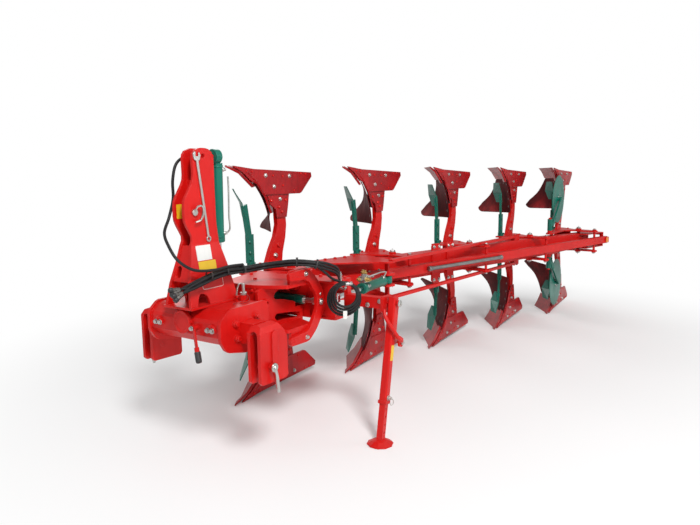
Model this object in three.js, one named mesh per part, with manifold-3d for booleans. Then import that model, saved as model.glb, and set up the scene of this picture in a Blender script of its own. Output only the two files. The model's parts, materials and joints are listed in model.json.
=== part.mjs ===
// A mounted reversible plough with five pairs of bodies and a variable furrow width.
//
// Frame used here: millimetres, +X to the rear (away from the tractor), +Y to the side that the
// furrow slices are thrown to, +Z up. The ground is at Z = 0. The headstock is at the front, and
// the frame turns half a turn about a shaft that lies along X, so every working body has a twin
// that is its mirror image in the horizontal plane through that shaft.

import * as THREE from "three";
import { mergeVertices } from "three/addons/utils/BufferGeometryUtils.js";
import Module from "manifold-3d";

// ---------------------------------------------------------------- driving dimensions

// Turnover shaft and hitch
const AXIS_Z = 870;
const BALL_Y = 430;
const BALL_Z = 645;
const LINK_GAP = 50;
const LINK_PLATE = 20;
const LINK_PIN_RADIUS = 14;
const TOP_PIN_X = -90;
const TOP_PIN_Z = 1465;
const TOP_PIN_RADIUS = 12;
const MAST_TOP_Z = 1812;
const MAST_HALF = 46;
const MAST_PLATE = 17;
const MAST_BEND_Z = 1290;
const MAST_SPLAY = 0.17;
const BOX_HALF = 275;
const BOX_REAR_X = 200;
const BOX_TOP_Z = 945;
const AXLE_RADIUS = 42;
const AXLE_END_X = 500;

// Turnover cylinder
const TURN_EYE = [140, 0, 1770];
const CRANK_RADIUS = 110;
const TURN_PIN = [229, CRANK_RADIUS, AXIS_Z];

// Body stations: the share tips lie on a line, one step apart
const BODIES = 5;
const TIP = [680, 465];
const STEP = [1020, -297];
const PITCH = Math.hypot(STEP[0], STEP[1]);
const BEAM_ANGLE = Math.atan2(STEP[1], STEP[0]);
const PIVOT_ALONG = 450;
const BEAM_OFFSET = 120;
const STEER_OFFSET = 200;
const FIRST_PIVOT = 330;

// Main beam and steering bar
const BEAM_HALF_WIDTH = 60;
const BEAM_HALF_HEIGHT = 105;
const BEAM_FRONT = -70;
const BEAM_REAR = 4680;
const FRAME_REAR = 4890;
const STEER_HALF_WIDTH = 30;
const STEER_HALF_HEIGHT = 40;
const PLATE_LOW = 109;
const PLATE_HIGH = 124;
const PIVOT_RADIUS = 20;
const STEER_PIN_RADIUS = 13;

// Body: share, mouldboard, landside
const ANGLE_LEAST = 31.5;
const ANGLE_AT_EDGE = 2;
const ANGLE_AT_TOP = 12.5;
const TURN_HEIGHT = 130;
const SHIN_REACH = 440;
const SHIN_HEIGHT = 520;
const SHARE_LENGTH = 480;
const SHARE_HEIGHT = 120;
const BOARD_LENGTH = 830;
const BOARD_THICKNESS = 8;
const LANDSIDE_REAR = 985;
const LEG_THICKNESS = 36;

// Discs, cylinders, stand
const DISC_RADIUS = 280;
const DISC_CENTRE = [173, -45, 372];
const DISC_POST = [-180, -45];
const VARIO_FRONT = [780, -370];
const VARIO_REAR = [1570, -320];
const LANDING_X = 643;
const LANDING_Z = 870;
const GUIDE_X = 640;
const GUIDE_RISE = 80;
const STAND_TOP = [862, -752, 862];
const STAND_FOOT = [690, -752, 0];
const STAND_OUTER = 52;
const STAND_INNER = 40;

// Hoses
const HOSE_RADIUS = 8;
const COIL_CENTRE = [648, -530, 910];
const COIL_TURN = THREE.MathUtils.degToRad(45);
const COIL_RADIUS = 92;
const COIL_LOOPS = 4;
const COIL_PITCH = 17;

// ---------------------------------------------------------------- materials

const paint = (color, roughness = 0.35, metalness = 0.05) =>
  new THREE.MeshStandardMaterial({ color, roughness, metalness, flatShading: true });
const RED = paint(0xd01a17);
const TEAL = paint(0x0b7358);
const ZINC = paint(0xc4c6c4, 0.35, 0.8);
const BURNISHED = paint(0x5a3b33, 0.4, 0.6);
const RUBBER = paint(0x16171a, 0.6, 0);

// ---------------------------------------------------------------- solids

const wasm = await Module();
wasm.setup();

const AXIS = {
  x: new THREE.Vector3(1, 0, 0),
  y: new THREE.Vector3(0, 1, 0),
  z: new THREE.Vector3(0, 0, 1),
};

// A closed geometry as a manifold solid, its faces turned out if they point in.
function solid(geometry, place) {
  const bare = geometry.clone();
  bare.deleteAttribute("normal");
  bare.deleteAttribute("uv");
  if (place) bare.applyMatrix4(place);
  const merged = mergeVertices(bare, 1e-3);
  const vertProperties = merged.attributes.position.array;
  const triVerts = new Uint32Array(merged.index.array);
  const make = () => new wasm.Manifold(new wasm.Mesh({ numProp: 3, vertProperties, triVerts }));
  const made = make();
  if (made.volume() > 0) return made;
  for (let i = 0; i < triVerts.length; i += 3) {
    [triVerts[i + 1], triVerts[i + 2]] = [triVerts[i + 2], triVerts[i + 1]];
  }
  return make();
}

function geometryOf(body) {
  const mesh = body.getMesh();
  const geometry = new THREE.BufferGeometry();
  geometry.setAttribute("position", new THREE.BufferAttribute(new Float32Array(mesh.vertProperties), 3));
  geometry.setIndex(new THREE.BufferAttribute(new Uint32Array(mesh.triVerts), 1));
  geometry.computeVertexNormals();
  return geometry;
}

const joined = (...bodies) => bodies.flat().reduce((sum, body) => sum.add(body));

// The twin of a solid in the horizontal plane at the given height.
function mirrored(body, height = AXIS_Z) {
  const flip = new THREE.Matrix4().makeScale(1, 1, -1).setPosition(0, 0, 2 * height);
  return solid(geometryOf(body), flip);
}
const withTwin = (body, height = AXIS_Z) => body.add(mirrored(body, height));

// A closed outline. A third number on a point cuts its corner back by that length: a small cut
// is a plain chamfer, a larger one is rounded.
const ROUND_FROM = 24;
function outline(points, holes = []) {
  const shape = new THREE.Shape();
  points.forEach(([x, y, cut = 0], i) => {
    const before = points[(i + points.length - 1) % points.length];
    const after = points[(i + 1) % points.length];
    const corner = new THREE.Vector2(x, y);
    const towards = ([px, py]) =>
      corner.clone().add(new THREE.Vector2(px - x, py - y).normalize().multiplyScalar(cut));
    const start = cut ? towards(before) : corner;
    if (i === 0) shape.moveTo(start.x, start.y);
    else shape.lineTo(start.x, start.y);
    if (cut) {
      const end = towards(after);
      if (cut >= ROUND_FROM) shape.quadraticCurveTo(x, y, end.x, end.y);
      else shape.lineTo(end.x, end.y);
    }
  });
  shape.closePath();
  holes.forEach((hole) => shape.holes.push(new THREE.Path(hole)));
  return shape;
}

// The corner points of a regular polygon that stands for a circle.
function ring(x, y, radius, sides = 8) {
  return Array.from({ length: sides }, (_, i) => {
    const turn = (2 * Math.PI * (i + 0.5)) / sides;
    return new THREE.Vector2(x + radius * Math.cos(turn), y + radius * Math.sin(turn));
  });
}

// An upright slot with round ends, as a list of points.
function slot(x, y, halfLength, halfHeight, sides = 10) {
  return ring(0, 0, halfHeight, sides).map(
    (p) => new THREE.Vector2(x + p.x + Math.sign(p.x) * (halfLength - halfHeight), y + p.y),
  );
}

function extruded(shape, depth, place) {
  return solid(new THREE.ExtrudeGeometry(shape, { depth, bevelEnabled: false, curveSegments: 2 }), place);
}

// Flat plates: the outline is given in the plane, and the plate fills the range across it.
function plateXY(points, low, high, holes) {
  return extruded(outline(points, holes), high - low, new THREE.Matrix4().makeTranslation(0, 0, low));
}
function plateXZ(points, low, high, holes) {
  const turn = new THREE.Matrix4().makeBasis(AXIS.x, AXIS.z, AXIS.y.clone().negate());
  return extruded(outline(points, holes), high - low, turn.setPosition(0, high, 0));
}
function plateYZ(points, low, high, holes) {
  const turn = new THREE.Matrix4().makeBasis(AXIS.y, AXIS.z, AXIS.x);
  return extruded(outline(points, holes), high - low, turn.setPosition(low, 0, 0));
}

function box(x, y, z) {
  const geometry = new THREE.BoxGeometry(x[1] - x[0], y[1] - y[0], z[1] - z[0]);
  const middle = [x, y, z].map(([low, high]) => (low + high) / 2);
  return solid(geometry, new THREE.Matrix4().makeTranslation(...middle));
}

// A round bar from one point to another; the end radius may differ.
function bar(from, to, radius, sides = 8, endRadius = radius) {
  const start = new THREE.Vector3(...from);
  const run = new THREE.Vector3(...to).sub(start);
  const geometry = new THREE.CylinderGeometry(endRadius, radius, run.length(), sides);
  geometry.translate(0, run.length() / 2, 0);
  const turn = new THREE.Quaternion().setFromUnitVectors(AXIS.y, run.clone().normalize());
  return solid(geometry, new THREE.Matrix4().compose(start, turn, new THREE.Vector3(1, 1, 1)));
}

// A rectangular bar from one point to another, with its height kept upright.
function flatBar(from, to, width, height) {
  const start = new THREE.Vector3(...from);
  const run = new THREE.Vector3(...to).sub(start);
  const along = run.clone().normalize();
  const side = new THREE.Vector3().crossVectors(AXIS.z, along).normalize();
  const up = new THREE.Vector3().crossVectors(along, side);
  const geometry = new THREE.BoxGeometry(run.length(), width, height);
  geometry.translate(run.length() / 2, 0, 0);
  return solid(geometry, new THREE.Matrix4().makeBasis(along, side, up).setPosition(start));
}

// A tube of one thickness along a curve.
function tube(curve, radius, sides, steps) {
  const section = new THREE.Shape(ring(0, 0, radius, sides));
  const geometry = new THREE.ExtrudeGeometry(section, { steps, extrudePath: curve, bevelEnabled: false });
  return solid(geometry);
}
const through = (...points) =>
  new THREE.CatmullRomCurve3(points.map((p) => new THREE.Vector3(...p)), false, "centripetal");

// A closed sheet between two faces of a grid: at(u, v, face) gives a point, face 0 behind, 1 in front.
function sheet(columns, rows, at) {
  const positions = [];
  for (const face of [0, 1]) {
    for (let j = 0; j <= rows; j++) {
      for (let i = 0; i <= columns; i++) positions.push(...at(i / columns, j / rows, face));
    }
  }
  const wide = columns + 1;
  const layer = wide * (rows + 1);
  const index = [];
  const quad = (a, b, c, d) => index.push(a, b, c, a, c, d);
  for (let j = 0; j < rows; j++) {
    for (let i = 0; i < columns; i++) {
      const p = j * wide + i;
      quad(p, p + wide, p + wide + 1, p + 1);
      quad(layer + p, layer + p + 1, layer + p + wide + 1, layer + p + wide);
    }
  }
  for (let i = 0; i < columns; i++) {
    const top = rows * wide + i;
    quad(i, i + 1, layer + i + 1, layer + i);
    quad(top + 1, top, layer + top, layer + top + 1);
  }
  for (let j = 0; j < rows; j++) {
    const left = j * wide;
    const right = left + columns;
    quad(left + wide, left, layer + left, layer + left + wide);
    quad(right, right + wide, layer + right + wide, layer + right);
  }
  const geometry = new THREE.BufferGeometry();
  geometry.setAttribute("position", new THREE.Float32BufferAttribute(positions, 3));
  geometry.setIndex(index);
  return solid(geometry);
}

const plough = new THREE.Group();
function node(name, body, material, parent = plough) {
  const mesh = new THREE.Mesh(body.isBufferGeometry ? body : geometryOf(body), material);
  mesh.name = name;
  parent.add(mesh);
  return mesh;
}

// ---------------------------------------------------------------- headstock

function headstockFrame() {
  const side = [
    [-160, 806], [-160, 892, 10], [-98, BOX_TOP_Z, 12], [188, BOX_TOP_Z, 8], [BOX_REAR_X, 925, 8], [BOX_REAR_X, 752],
    [-92, 748],
  ];
  const end = [
    [-172, 790, 10], [-172, 898, 14], [-104, 955, 14], [192, 955, 12], [210, 930, 12], [210, 700, 14], [20, 690, 16],
    [-130, 724, 16],
  ];
  const bodies = [
    plateXZ(side, -BOX_HALF, BOX_HALF),
    plateXZ(end, -BOX_HALF - 15, -BOX_HALF + 5),
    plateXZ(end, BOX_HALF - 5, BOX_HALF + 15),
    bar([-158, 0, AXIS_Z], [-172, 0, AXIS_Z], 68, 12),
    bar([-158, -100, 850], [-176, -100, 850], 16, 8),
    bar([-170, -100, 850], [-198, -100, 850], 8, 8),
  ];
  // Rounded flanges that close the ends of the cross shaft's bearings
  const flange = (y) => [[y, 888, 26], [y + 46, 834, 26], [y - 46, 834, 26]];
  for (const y of [-212, 200]) bodies.push(plateYZ(flange(y), -172, -158));
  // Round bosses on the near end plate, and the rear boss that the transport pin drops through
  for (const [x, z] of [[-64, 873], [-55, 789], [104, 884]]) {
    bodies.push(bar([x, -BOX_HALF - 10, z], [x, -BOX_HALF - 27, z], 21, 8));
  }
  bodies.push(bar([150, -160, 940], [150, -160, 980], 24));
  return joined(bodies)
    .subtract(bar([-150, 0, AXIS_Z], [-180, 0, AXIS_Z], 50, 12))
    .subtract(bar([150, -160, 900], [150, -160, 990], 10.6));
}

function mast() {
  const upper = [
    [-84, 1780, 26], [-46, MAST_TOP_Z, 22], [36, MAST_TOP_Z, 26], [72, 1776, 20], [70, 1600], [72, 1400],
    [86, MAST_BEND_Z - 2], [-120, MAST_BEND_Z - 2], [-104, 1322, 14], [-160, 1420, 26], [-158, 1525, 26],
    [-82, 1640, 30],
  ];
  const lower = [
    [-120, MAST_BEND_Z], [86, MAST_BEND_Z], [130, 1140], [168, 945.6], [-50, 945.6], [-62, 1010, 24], [-118, 1030, 24],
    [-150, 945.6], [-196, 945.6], [-176, 1080], [-140, 1200],
  ];
  const holes = [ring(TOP_PIN_X, TOP_PIN_Z, TOP_PIN_RADIUS + 1.6), ring(-8, 1768, 14)];
  const cheeks = [];
  for (const side of [-1, 1]) {
    const near = side * MAST_HALF;
    const far = side * (MAST_HALF - MAST_PLATE);
    cheeks.push(plateXZ(upper, Math.min(near, far), Math.max(near, far), holes));
    const slope = new THREE.Matrix4().makeShear(0, 0, 0, 0, 0, 0);
    slope.elements[9] = -side * MAST_SPLAY;
    slope.elements[13] = side * MAST_SPLAY * MAST_BEND_Z;
    const flat = plateXZ(lower, Math.min(near, far), Math.max(near, far));
    cheeks.push(solid(geometryOf(flat), slope));
  }
  const foot = MAST_HALF + MAST_SPLAY * (MAST_BEND_Z - 945) + 10;
  // Front wall between the cheeks: it widens as they spread, and has an oval window
  const wallHalf = (z) => MAST_HALF - 6 + MAST_SPLAY * Math.max(0, MAST_BEND_Z - z);
  const wallX = (z) => (z > 1200 ? -140 + (z - 1200) * 0.222 : -176 + (z - 1080) * 0.3);
  const heights = [1090, 1200, 1284];
  const wall = sheet(1, 2, (u, v, face) => {
    const z = heights[Math.round(v * 2)];
    return [wallX(z) + 5 + face * 12, wallHalf(z) * (1 - 2 * u), z];
  });
  const oval = slot(0, 0, 34, 20, 8).map((p) => [26 + p.y, 1140 + p.x]);
  const ties = [
    box([50, 70], [-34, 34], [1700, 1795]),
    box([-60, -40], [-36, 36], [1580, 1640]),
    box([60, 76], [-34, 34], [1330, 1400]),
    wall.subtract(plateYZ(oval, -220, -60)),
    box([-200, 176], [-foot, foot], [945.6, 958]),
    bar([66, 0, TURN_EYE[2]], [166, 0, TURN_EYE[2]], 15, 10),
    bar([154, 0, TURN_EYE[2]], [166, 0, TURN_EYE[2]], 24, 10),
  ];
  return joined(cheeks, ties);
}

// A forked lower-link bracket: a strap bent over into two cheeks, with the link pin and its ball.
function linkBracket(side) {
  const profile = [
    [-75, 556, 14], [-75, 838], [-40, 890, 20], [60, 890, 20], [112, 840, 20], [150, 780, 14], [150, 548, 14],
  ];
  const low = BALL_Y - LINK_GAP / 2 - LINK_PLATE;
  const high = BALL_Y + LINK_GAP / 2 + LINK_PLATE;
  const strap = [[low, 540], [low, 878, 44], [high, 878, 44], [high, 540]].map(([y, z, cut]) => [side * y, z, cut]);
  const gap = [
    [low + LINK_PLATE, 520], [low + LINK_PLATE, 846, 25], [high - LINK_PLATE, 846, 25], [high - LINK_PLATE, 520],
  ].map(([y, z, cut]) => [side * y, z, cut]);
  const order = (points) => (side < 0 ? points.slice().reverse() : points);
  const across = Math.min(side * low, side * high);
  const pad = [[12, 640, 24], [12, 838, 24], [64, 838, 24], [64, 640, 24]];
  const padRange = side < 0 ? [-high - 9, -high + 2] : [high - 2, high + 9];
  const tieRange = side < 0 ? [-low - 2, -BOX_HALF - 15.4] : [BOX_HALF + 15.4, low + 2];
  const collar = (from, to) => bar([0, side * from, BALL_Z], [0, side * to, BALL_Z], 30, 8);
  return joined(
    plateYZ(order(strap), -75, 150)
      .intersect(plateXZ(profile, across - 2, across + high - low + 2))
      .subtract(plateYZ(order(gap), -80, 160)),
    plateXZ(pad, ...padRange),
    box([-28, 76], tieRange, [756, 872]),
    bar([0, side * 384, BALL_Z], [0, side * 492, BALL_Z], LINK_PIN_RADIUS),
    bar([0, side * 484, BALL_Z], [0, side * 500, BALL_Z], 22),
    collar(low + LINK_PLATE - 2, low + LINK_PLATE + 8),
    collar(high - LINK_PLATE - 8, high - LINK_PLATE + 2),
    solid(new THREE.SphereGeometry(28, 8, 5), new THREE.Matrix4().makeTranslation(0, side * BALL_Y, BALL_Z)),
    bar([4, side * 495, BALL_Z - 6], [26, side * 501, 520], 7, 6),
  );
}

function topLinkPin() {
  const y = MAST_HALF + 12;
  const handle = through(
    [TOP_PIN_X, -y + 2, TOP_PIN_Z + 6], [TOP_PIN_X + 4, -y - 12, TOP_PIN_Z + 30],
    [TOP_PIN_X + 34, -y - 16, TOP_PIN_Z + 34], [TOP_PIN_X + 44, -y - 14, TOP_PIN_Z - 4],
    [TOP_PIN_X + 24, -y - 12, TOP_PIN_Z - 42], [TOP_PIN_X - 12, -y - 10, TOP_PIN_Z - 52],
  );
  return joined(
    bar([TOP_PIN_X, -y, TOP_PIN_Z], [TOP_PIN_X, y, TOP_PIN_Z], TOP_PIN_RADIUS),
    bar([TOP_PIN_X, -y, TOP_PIN_Z], [TOP_PIN_X, -MAST_HALF - 0.6, TOP_PIN_Z], 19),
    tube(handle, 6, 5, 12),
  );
}

function mainAxle() {
  return joined(
    bar([BOX_REAR_X + 0.4, 0, AXIS_Z], [AXLE_END_X, 0, AXIS_Z], AXLE_RADIUS, 12),
    bar([BOX_REAR_X + 0.4, 0, AXIS_Z], [BOX_REAR_X + 6.4, 0, AXIS_Z], 60, 12),
  );
}

function lockLever() {
  const arm = joined(
    bar([-178.5, -100, 850], [-194, -100, 850], 17),
    flatBar([-186, -104, 848], [-192, -128, 742], 8, 22),
    bar([-192, -126, 748], [-197, -146, 668], 13, 8, 15),
  );
  return arm.subtract(bar([-170, -100, 850], [-200, -100, 850], 9.2, 8));
}

function spanner() {
  const face = [-MAST_HALF - 7, -MAST_HALF - 0.6];
  const low = [4, 1322];
  const high = [-56, 1752];
  const lean = (low[0] - high[0]) / (high[1] - low[1]);
  const shank = [[high[0] - 8, high[1]], [high[0] + 8, high[1]], [low[0] + 7, low[1]], [low[0] - 7, low[1]]];
  const head = [
    [high[0] - 22, high[1] - 8, 8], [high[0] - 26, high[1] + 34, 6], [high[0] - 9, high[1] + 40, 3],
    [high[0] - 9, high[1] + 14], [high[0] + 10, high[1] + 14], [high[0] + 12, high[1] + 38, 3],
    [high[0] + 27, high[1] + 26, 6], [high[0] + 20, high[1] - 10, 8],
  ];
  const eye = ring(low[0] + lean * 8, low[1] - 8, 17, 12);
  return joined(
    plateXZ(shank, ...face),
    plateXZ(head, ...face),
    extruded(
      new THREE.Shape(eye), face[1] - face[0],
      new THREE.Matrix4().makeBasis(AXIS.x, AXIS.z, AXIS.y.clone().negate()).setPosition(0, face[1], 0),
    ).subtract(bar([low[0] + lean * 8, -80, low[1] - 8], [low[0] + lean * 8, 0, low[1] - 8], 9, 8)),
  );
}

function transportPin() {
  const grip = through([150, -160, 1040], [120, -160, 1052], [90, -168, 1020], [80, -172, 990]);
  return joined(
    bar([150, -160, 905], [150, -160, 1046], 9.5),
    bar([150, -160, 981], [150, -160, 996], 20),
    tube(grip, 5, 4, 5),
  );
}

// Turnover cylinder, from the mast head to the crank on the hub.
const turnAlong = new THREE.Vector3(...TURN_PIN).sub(new THREE.Vector3(...TURN_EYE)).normalize();
const alongTurn = (distance) =>
  new THREE.Vector3(...TURN_EYE).addScaledVector(turnAlong, distance).toArray();
const TURN_MOUTH = 500;
const HUB_FRONT = 247;
const TURN_LENGTH = Math.hypot(TURN_PIN[0] - TURN_EYE[0], TURN_PIN[1], TURN_PIN[2] - TURN_EYE[2]);

function turnoverBarrel() {
  const eye = bar([104, 0, TURN_EYE[2]], [150, 0, TURN_EYE[2]], 42, 10);
  const body = joined(
    eye,
    bar(alongTurn(34), alongTurn(TURN_MOUTH), 33, 10),
    bar(alongTurn(TURN_MOUTH - 40), alongTurn(TURN_MOUTH), 38, 10),
  );
  return body
    .subtract(bar([80, 0, TURN_EYE[2]], [160, 0, TURN_EYE[2]], 16, 10))
    .subtract(bar(alongTurn(TURN_MOUTH - 380), alongTurn(TURN_MOUTH + 5), 18.5, 10));
}

function turnoverRod() {
  const [x, y, z] = TURN_PIN;
  return joined(
    bar(alongTurn(TURN_MOUTH - 110), alongTurn(TURN_LENGTH - 6), 16, 10),
    bar([x - 10, y, z], [x + 8, y, z], 26, 10),
    bar([x + 6, y, z], [HUB_FRONT - 0.5, y, z], 14, 8),
  );
}

// Supply hoses: from the couplings in front of the mast, past it, to the shaft where they flex.
const HOSE_SPLIT_X = 277;
const hoseEnd = (i) => [-18 * (i % 2) - 112, 1110 + 18 * Math.floor(i / 2) - 6 * (i % 2)];
function hoseBundle() {
  const hoses = [0, 1, 2].map((i) => {
    const [y, z] = hoseEnd(i);
    return tube(
      through(
        [HOSE_SPLIT_X - 0.3, y, z], [HOSE_SPLIT_X - 30, y, z], [150, y, z + 8], [0, y - 8, z + 2],
        [-150, y - 10, z - 24], [-255, y, z - 40], [-330, y + 24, z - 30 - 14 * i],
      ),
      HOSE_RADIUS, 5, 8,
    );
  });
  const loop = tube(
    through(
      [176, -138, 1124], [60, -150, 1132], [-60, -146, 1136], [-190, -126, 1160], [-256, -90, 1225], [-262, -30, 1300],
      [-228, 36, 1350], [-160, 70, 1356], [-96, 72, 1330],
    ),
    HOSE_RADIUS, 5, 10,
  );
  const clip = box([168, 190], [-146, -102], [1094, 1148]);
  return joined(hoses, loop, clip);
}

node("headstock_frame", headstockFrame(), RED);
node("mast", mast(), RED);
node("link_bracket_left", linkBracket(-1), RED);
node("link_bracket_right", linkBracket(1), RED);
node("top_link_pin", topLinkPin(), ZINC);
node("main_axle", mainAxle(), ZINC);
node("lock_lever", lockLever(), RED);
node("spanner", spanner(), ZINC);
node("transport_pin", transportPin(), ZINC);
node("turnover_barrel", turnoverBarrel(), TEAL);
node("turnover_rod", turnoverRod(), ZINC);
node("hose_bundle", hoseBundle(), RUBBER);

// ---------------------------------------------------------------- turning hub

function rolloverHub() {
  const flange = [
    [262, -128, 10], [318, -262, 20], [352, -322, 6], [578, -322, 6], [628, -200, 16], [672, -190, 10],
    [672, 190, 10], [600, 200, 20], [262, 128, 10],
  ];
  const ear = [[375, 1004], [375, 1098, 14], [545, 1098, 20], [572, 1060, 14], [572, 1004]];
  const wall = [[240, 745, 14], [240, 995, 14], [668, 995], [668, 745]];
  // Openings in the side walls: the upper one runs out at the rear, past the landing cylinder
  const windows = [
    [[380, 930, 8], [396, 952], [430, 966], [690, 966], [690, 824], [640, 836], [570, 872], [470, 900], [398, 910]],
    [[384, 800, 8], [404, 820], [520, 808], [638, 790, 8], [638, 756, 8], [520, 768], [410, 774]],
  ];
  const front = [[-150, 724, 40], [-150, 1016, 40], [150, 1016, 40], [150, 724, 40]];
  const side = (low, high) => {
    let body = plateXZ(wall, low, high);
    for (const window of windows) {
      const turn = new THREE.Matrix4().makeBasis(AXIS.x, AXIS.z, AXIS.y.clone().negate());
      body = body.subtract(extruded(outline(window), 60, turn.setPosition(0, high + 20, 0)));
    }
    return body;
  };
  const rise = 1000 - AXIS_Z;
  let body = joined(
    bar([HUB_FRONT, 0, AXIS_Z], [AXLE_END_X + 12, 0, AXIS_Z], 78, 12),
    plateYZ(front, 266, 288),
    side(-188, -166),
    side(166, 188),
    withTwin(plateXY(flange, AXIS_Z + rise - 6, AXIS_Z + rise + 16)),
    withTwin(plateXZ(ear, -322, -302)),
    withTwin(bar([GUIDE_X, -170, AXIS_Z + GUIDE_RISE], [GUIDE_X, 170, AXIS_Z + GUIDE_RISE], 22, 10)),
    box([HUB_FRONT, 266], [CRANK_RADIUS - 30, CRANK_RADIUS + 20], [AXIS_Z - 30, AXIS_Z + 30]),
    bar([HUB_FRONT, CRANK_RADIUS, AXIS_Z], [268, CRANK_RADIUS, AXIS_Z], 32, 10),
  );
  const boss = bar([305, -188, 905], [305, -204, 905], 26, 12);
  body = body.add(boss);
  return body
    .subtract(bar([230, 0, AXIS_Z], [AXLE_END_X + 3, 0, AXIS_Z], AXLE_RADIUS + 2, 12))
    .subtract(box([592, 690], [-210, 210], [LANDING_Z - 42, LANDING_Z + 42]))
    .subtract(bar([305, -210, 905], [305, -176, 905], 12, 10));
}

function landingYoke() {
  const half = [
    [345, 172, 8], [345, 222, 10], [525, 228, 30], [600, 172, 24], [690, 62, 34], [690, -1], [612, -1], [612, 44, 26],
    [520, 160, 20],
  ].map(([x, z, cut]) => [x, z + AXIS_Z, cut]);
  const holes = [380, 430, 480].map((x) => ring(x, AXIS_Z + 196, 9, 6));
  return withTwin(plateXZ(half, -346, -322.4, holes)).add(
    bar([LANDING_X + 6, -350, LANDING_Z], [LANDING_X + 6, -346, LANDING_Z], 26, 12).add(
      bar([LANDING_X + 6, -352, LANDING_Z], [LANDING_X + 6, -340, LANDING_Z], 14, 8),
    ),
  );
}

function landingRod() {
  return joined(
    bar([LANDING_X, -322, LANDING_Z], [LANDING_X, -20, LANDING_Z], 15, 10),
    bar([LANDING_X, -322, LANDING_Z], [LANDING_X, -292, LANDING_Z], 24, 10),
  );
}

node("rollover_hub", rolloverHub(), RED);
node("landing_yoke", landingYoke(), RED);
node("landing_rod", landingRod(), ZINC);

// ---------------------------------------------------------------- carrier, landing cylinder, stand

const along = [Math.cos(BEAM_ANGLE), Math.sin(BEAM_ANGLE)];
const across = [-along[1], along[0]];
const onBeam = (x, right = 0) => [
  TIP[0] + along[0] * (PIVOT_ALONG - FIRST_PIVOT + x) + across[0] * (right - BEAM_OFFSET),
  TIP[1] + along[1] * (PIVOT_ALONG - FIRST_PIVOT + x) + across[1] * (right - BEAM_OFFSET),
];
const MAIN_PIVOT = onBeam(0);
const STEER_PIVOT = onBeam(0, -STEER_OFFSET);

function beamCarrier() {
  const [px, py] = MAIN_PIVOT;
  const deck = [
    [678, -230, 8], [692, -430, 10], [884, -430, 10], [884, -330, 14], [850, -130, 20], [798, -40, 20],
    [798, 200, 16], [px + 74, py - 20, 26], [px + 60, py + 74, 40], [px - 84, py + 74, 40], [678, 230, 20],
  ];
  const web = plateYZ([[-230, -110], [-230, 110], [200, 110], [200, -110]].map(([y, z]) => [y, z + AXIS_Z]), 676, 692);
  const arm = plateYZ([[-428, -110], [-428, 110], [-228, 110], [-228, -110]].map(([y, z]) => [y, z + AXIS_Z]), 694, 712);
  const rise = AXIS_Z + GUIDE_RISE;
  const body = joined(
    withTwin(plateXY(deck, AXIS_Z + PLATE_LOW, AXIS_Z + PLATE_HIGH)),
    web,
    arm,
    box([676, 712], [-240, -220], [AXIS_Z - 110, AXIS_Z + 110]),
    withTwin(bar([GUIDE_X, -100, rise], [GUIDE_X, 100, rise], 34, 10)),
    withTwin(box([660, 690], [-100, 100], [rise - 26, rise + 26])),
    bar([px, py, AXIS_Z - PLATE_HIGH - 10], [px, py, AXIS_Z + PLATE_HIGH + 10], 30, 12),
    bar([...STEER_PIVOT, AXIS_Z - 112], [...STEER_PIVOT, AXIS_Z + 112], STEER_PIN_RADIUS),
    bar([...VARIO_FRONT, AXIS_Z - 112], [...VARIO_FRONT, AXIS_Z + 112], 11),
    box([620, 680], [62.4, 80], [LANDING_Z - 30, LANDING_Z + 30]),
    // Arm and pin of the parking stand
    box([812, 872], [-702, -428], [826, 896]),
    plateXZ([[800, 800, 12], [800, 905, 12], [905, 905, 12], [905, 800, 12]], -714, -694),
    bar([STAND_TOP[0], -670, STAND_TOP[2]], [STAND_TOP[0], -792, STAND_TOP[2]], 13),
    bar([STAND_TOP[0], -786, STAND_TOP[2]], [STAND_TOP[0], -796, STAND_TOP[2]], 22, 8),
    box([820, 864], [-440, -412], [AXIS_Z - 112, AXIS_Z + 112]),
    // Hook that the spare hose hangs on
    bar([704, -422, 966], [628, -549, 966], 7, 6),
  );
  const sleeveBore = withTwin(bar([GUIDE_X, -120, rise], [GUIDE_X, 120, rise], 22.8, 10));
  const barWay = box([660, 700], [86, 176], [AXIS_Z - 46, AXIS_Z + 46]);
  return body.subtract(sleeveBore).subtract(barWay);
}

function landingBarrel() {
  return joined(
    bar([LANDING_X, -222, LANDING_Z], [LANDING_X, 62, LANDING_Z], 29, 12),
  ).subtract(bar([LANDING_X, -230, LANDING_Z], [LANDING_X, 46, LANDING_Z], 16, 12));
}

node("beam_carrier", beamCarrier(), RED);
node("landing_barrel", landingBarrel(), TEAL);

// The stand leans a little, so its tube and leg are built along their own axis.
const standFoot = new THREE.Vector3(...STAND_FOOT);
const standUp = new THREE.Vector3(...STAND_TOP).sub(standFoot).normalize();
const standSide = new THREE.Vector3().crossVectors(AXIS.y, standUp).normalize();
const standPlace = new THREE.Matrix4()
  .makeBasis(standSide, new THREE.Vector3().crossVectors(standUp, standSide), standUp)
  .setPosition(standFoot);
const STAND_LENGTH = new THREE.Vector3(...STAND_TOP).distanceTo(standFoot);
const square = (half, cut) => [[-half, -half, cut], [-half, half, cut], [half, half, cut], [half, -half, cut]];

function standTube() {
  const outer = STAND_OUTER / 2;
  const inner = STAND_INNER / 2 + 1;
  const body = joined(
    plateXY(square(outer, 8), 250, STAND_LENGTH + 36),
    plateXZ([[20, 640, 8], [20, 880], [66, 880, 6], [66, 690, 20]], -8, 8),
  ).subtract(plateXY(square(inner, 0), 240, STAND_LENGTH + 50));
  const pivot = bar([STAND_TOP[0], -650, STAND_TOP[2]], [STAND_TOP[0], -800, STAND_TOP[2]], 14.6);
  return solid(geometryOf(body), standPlace).subtract(pivot);
}

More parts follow.
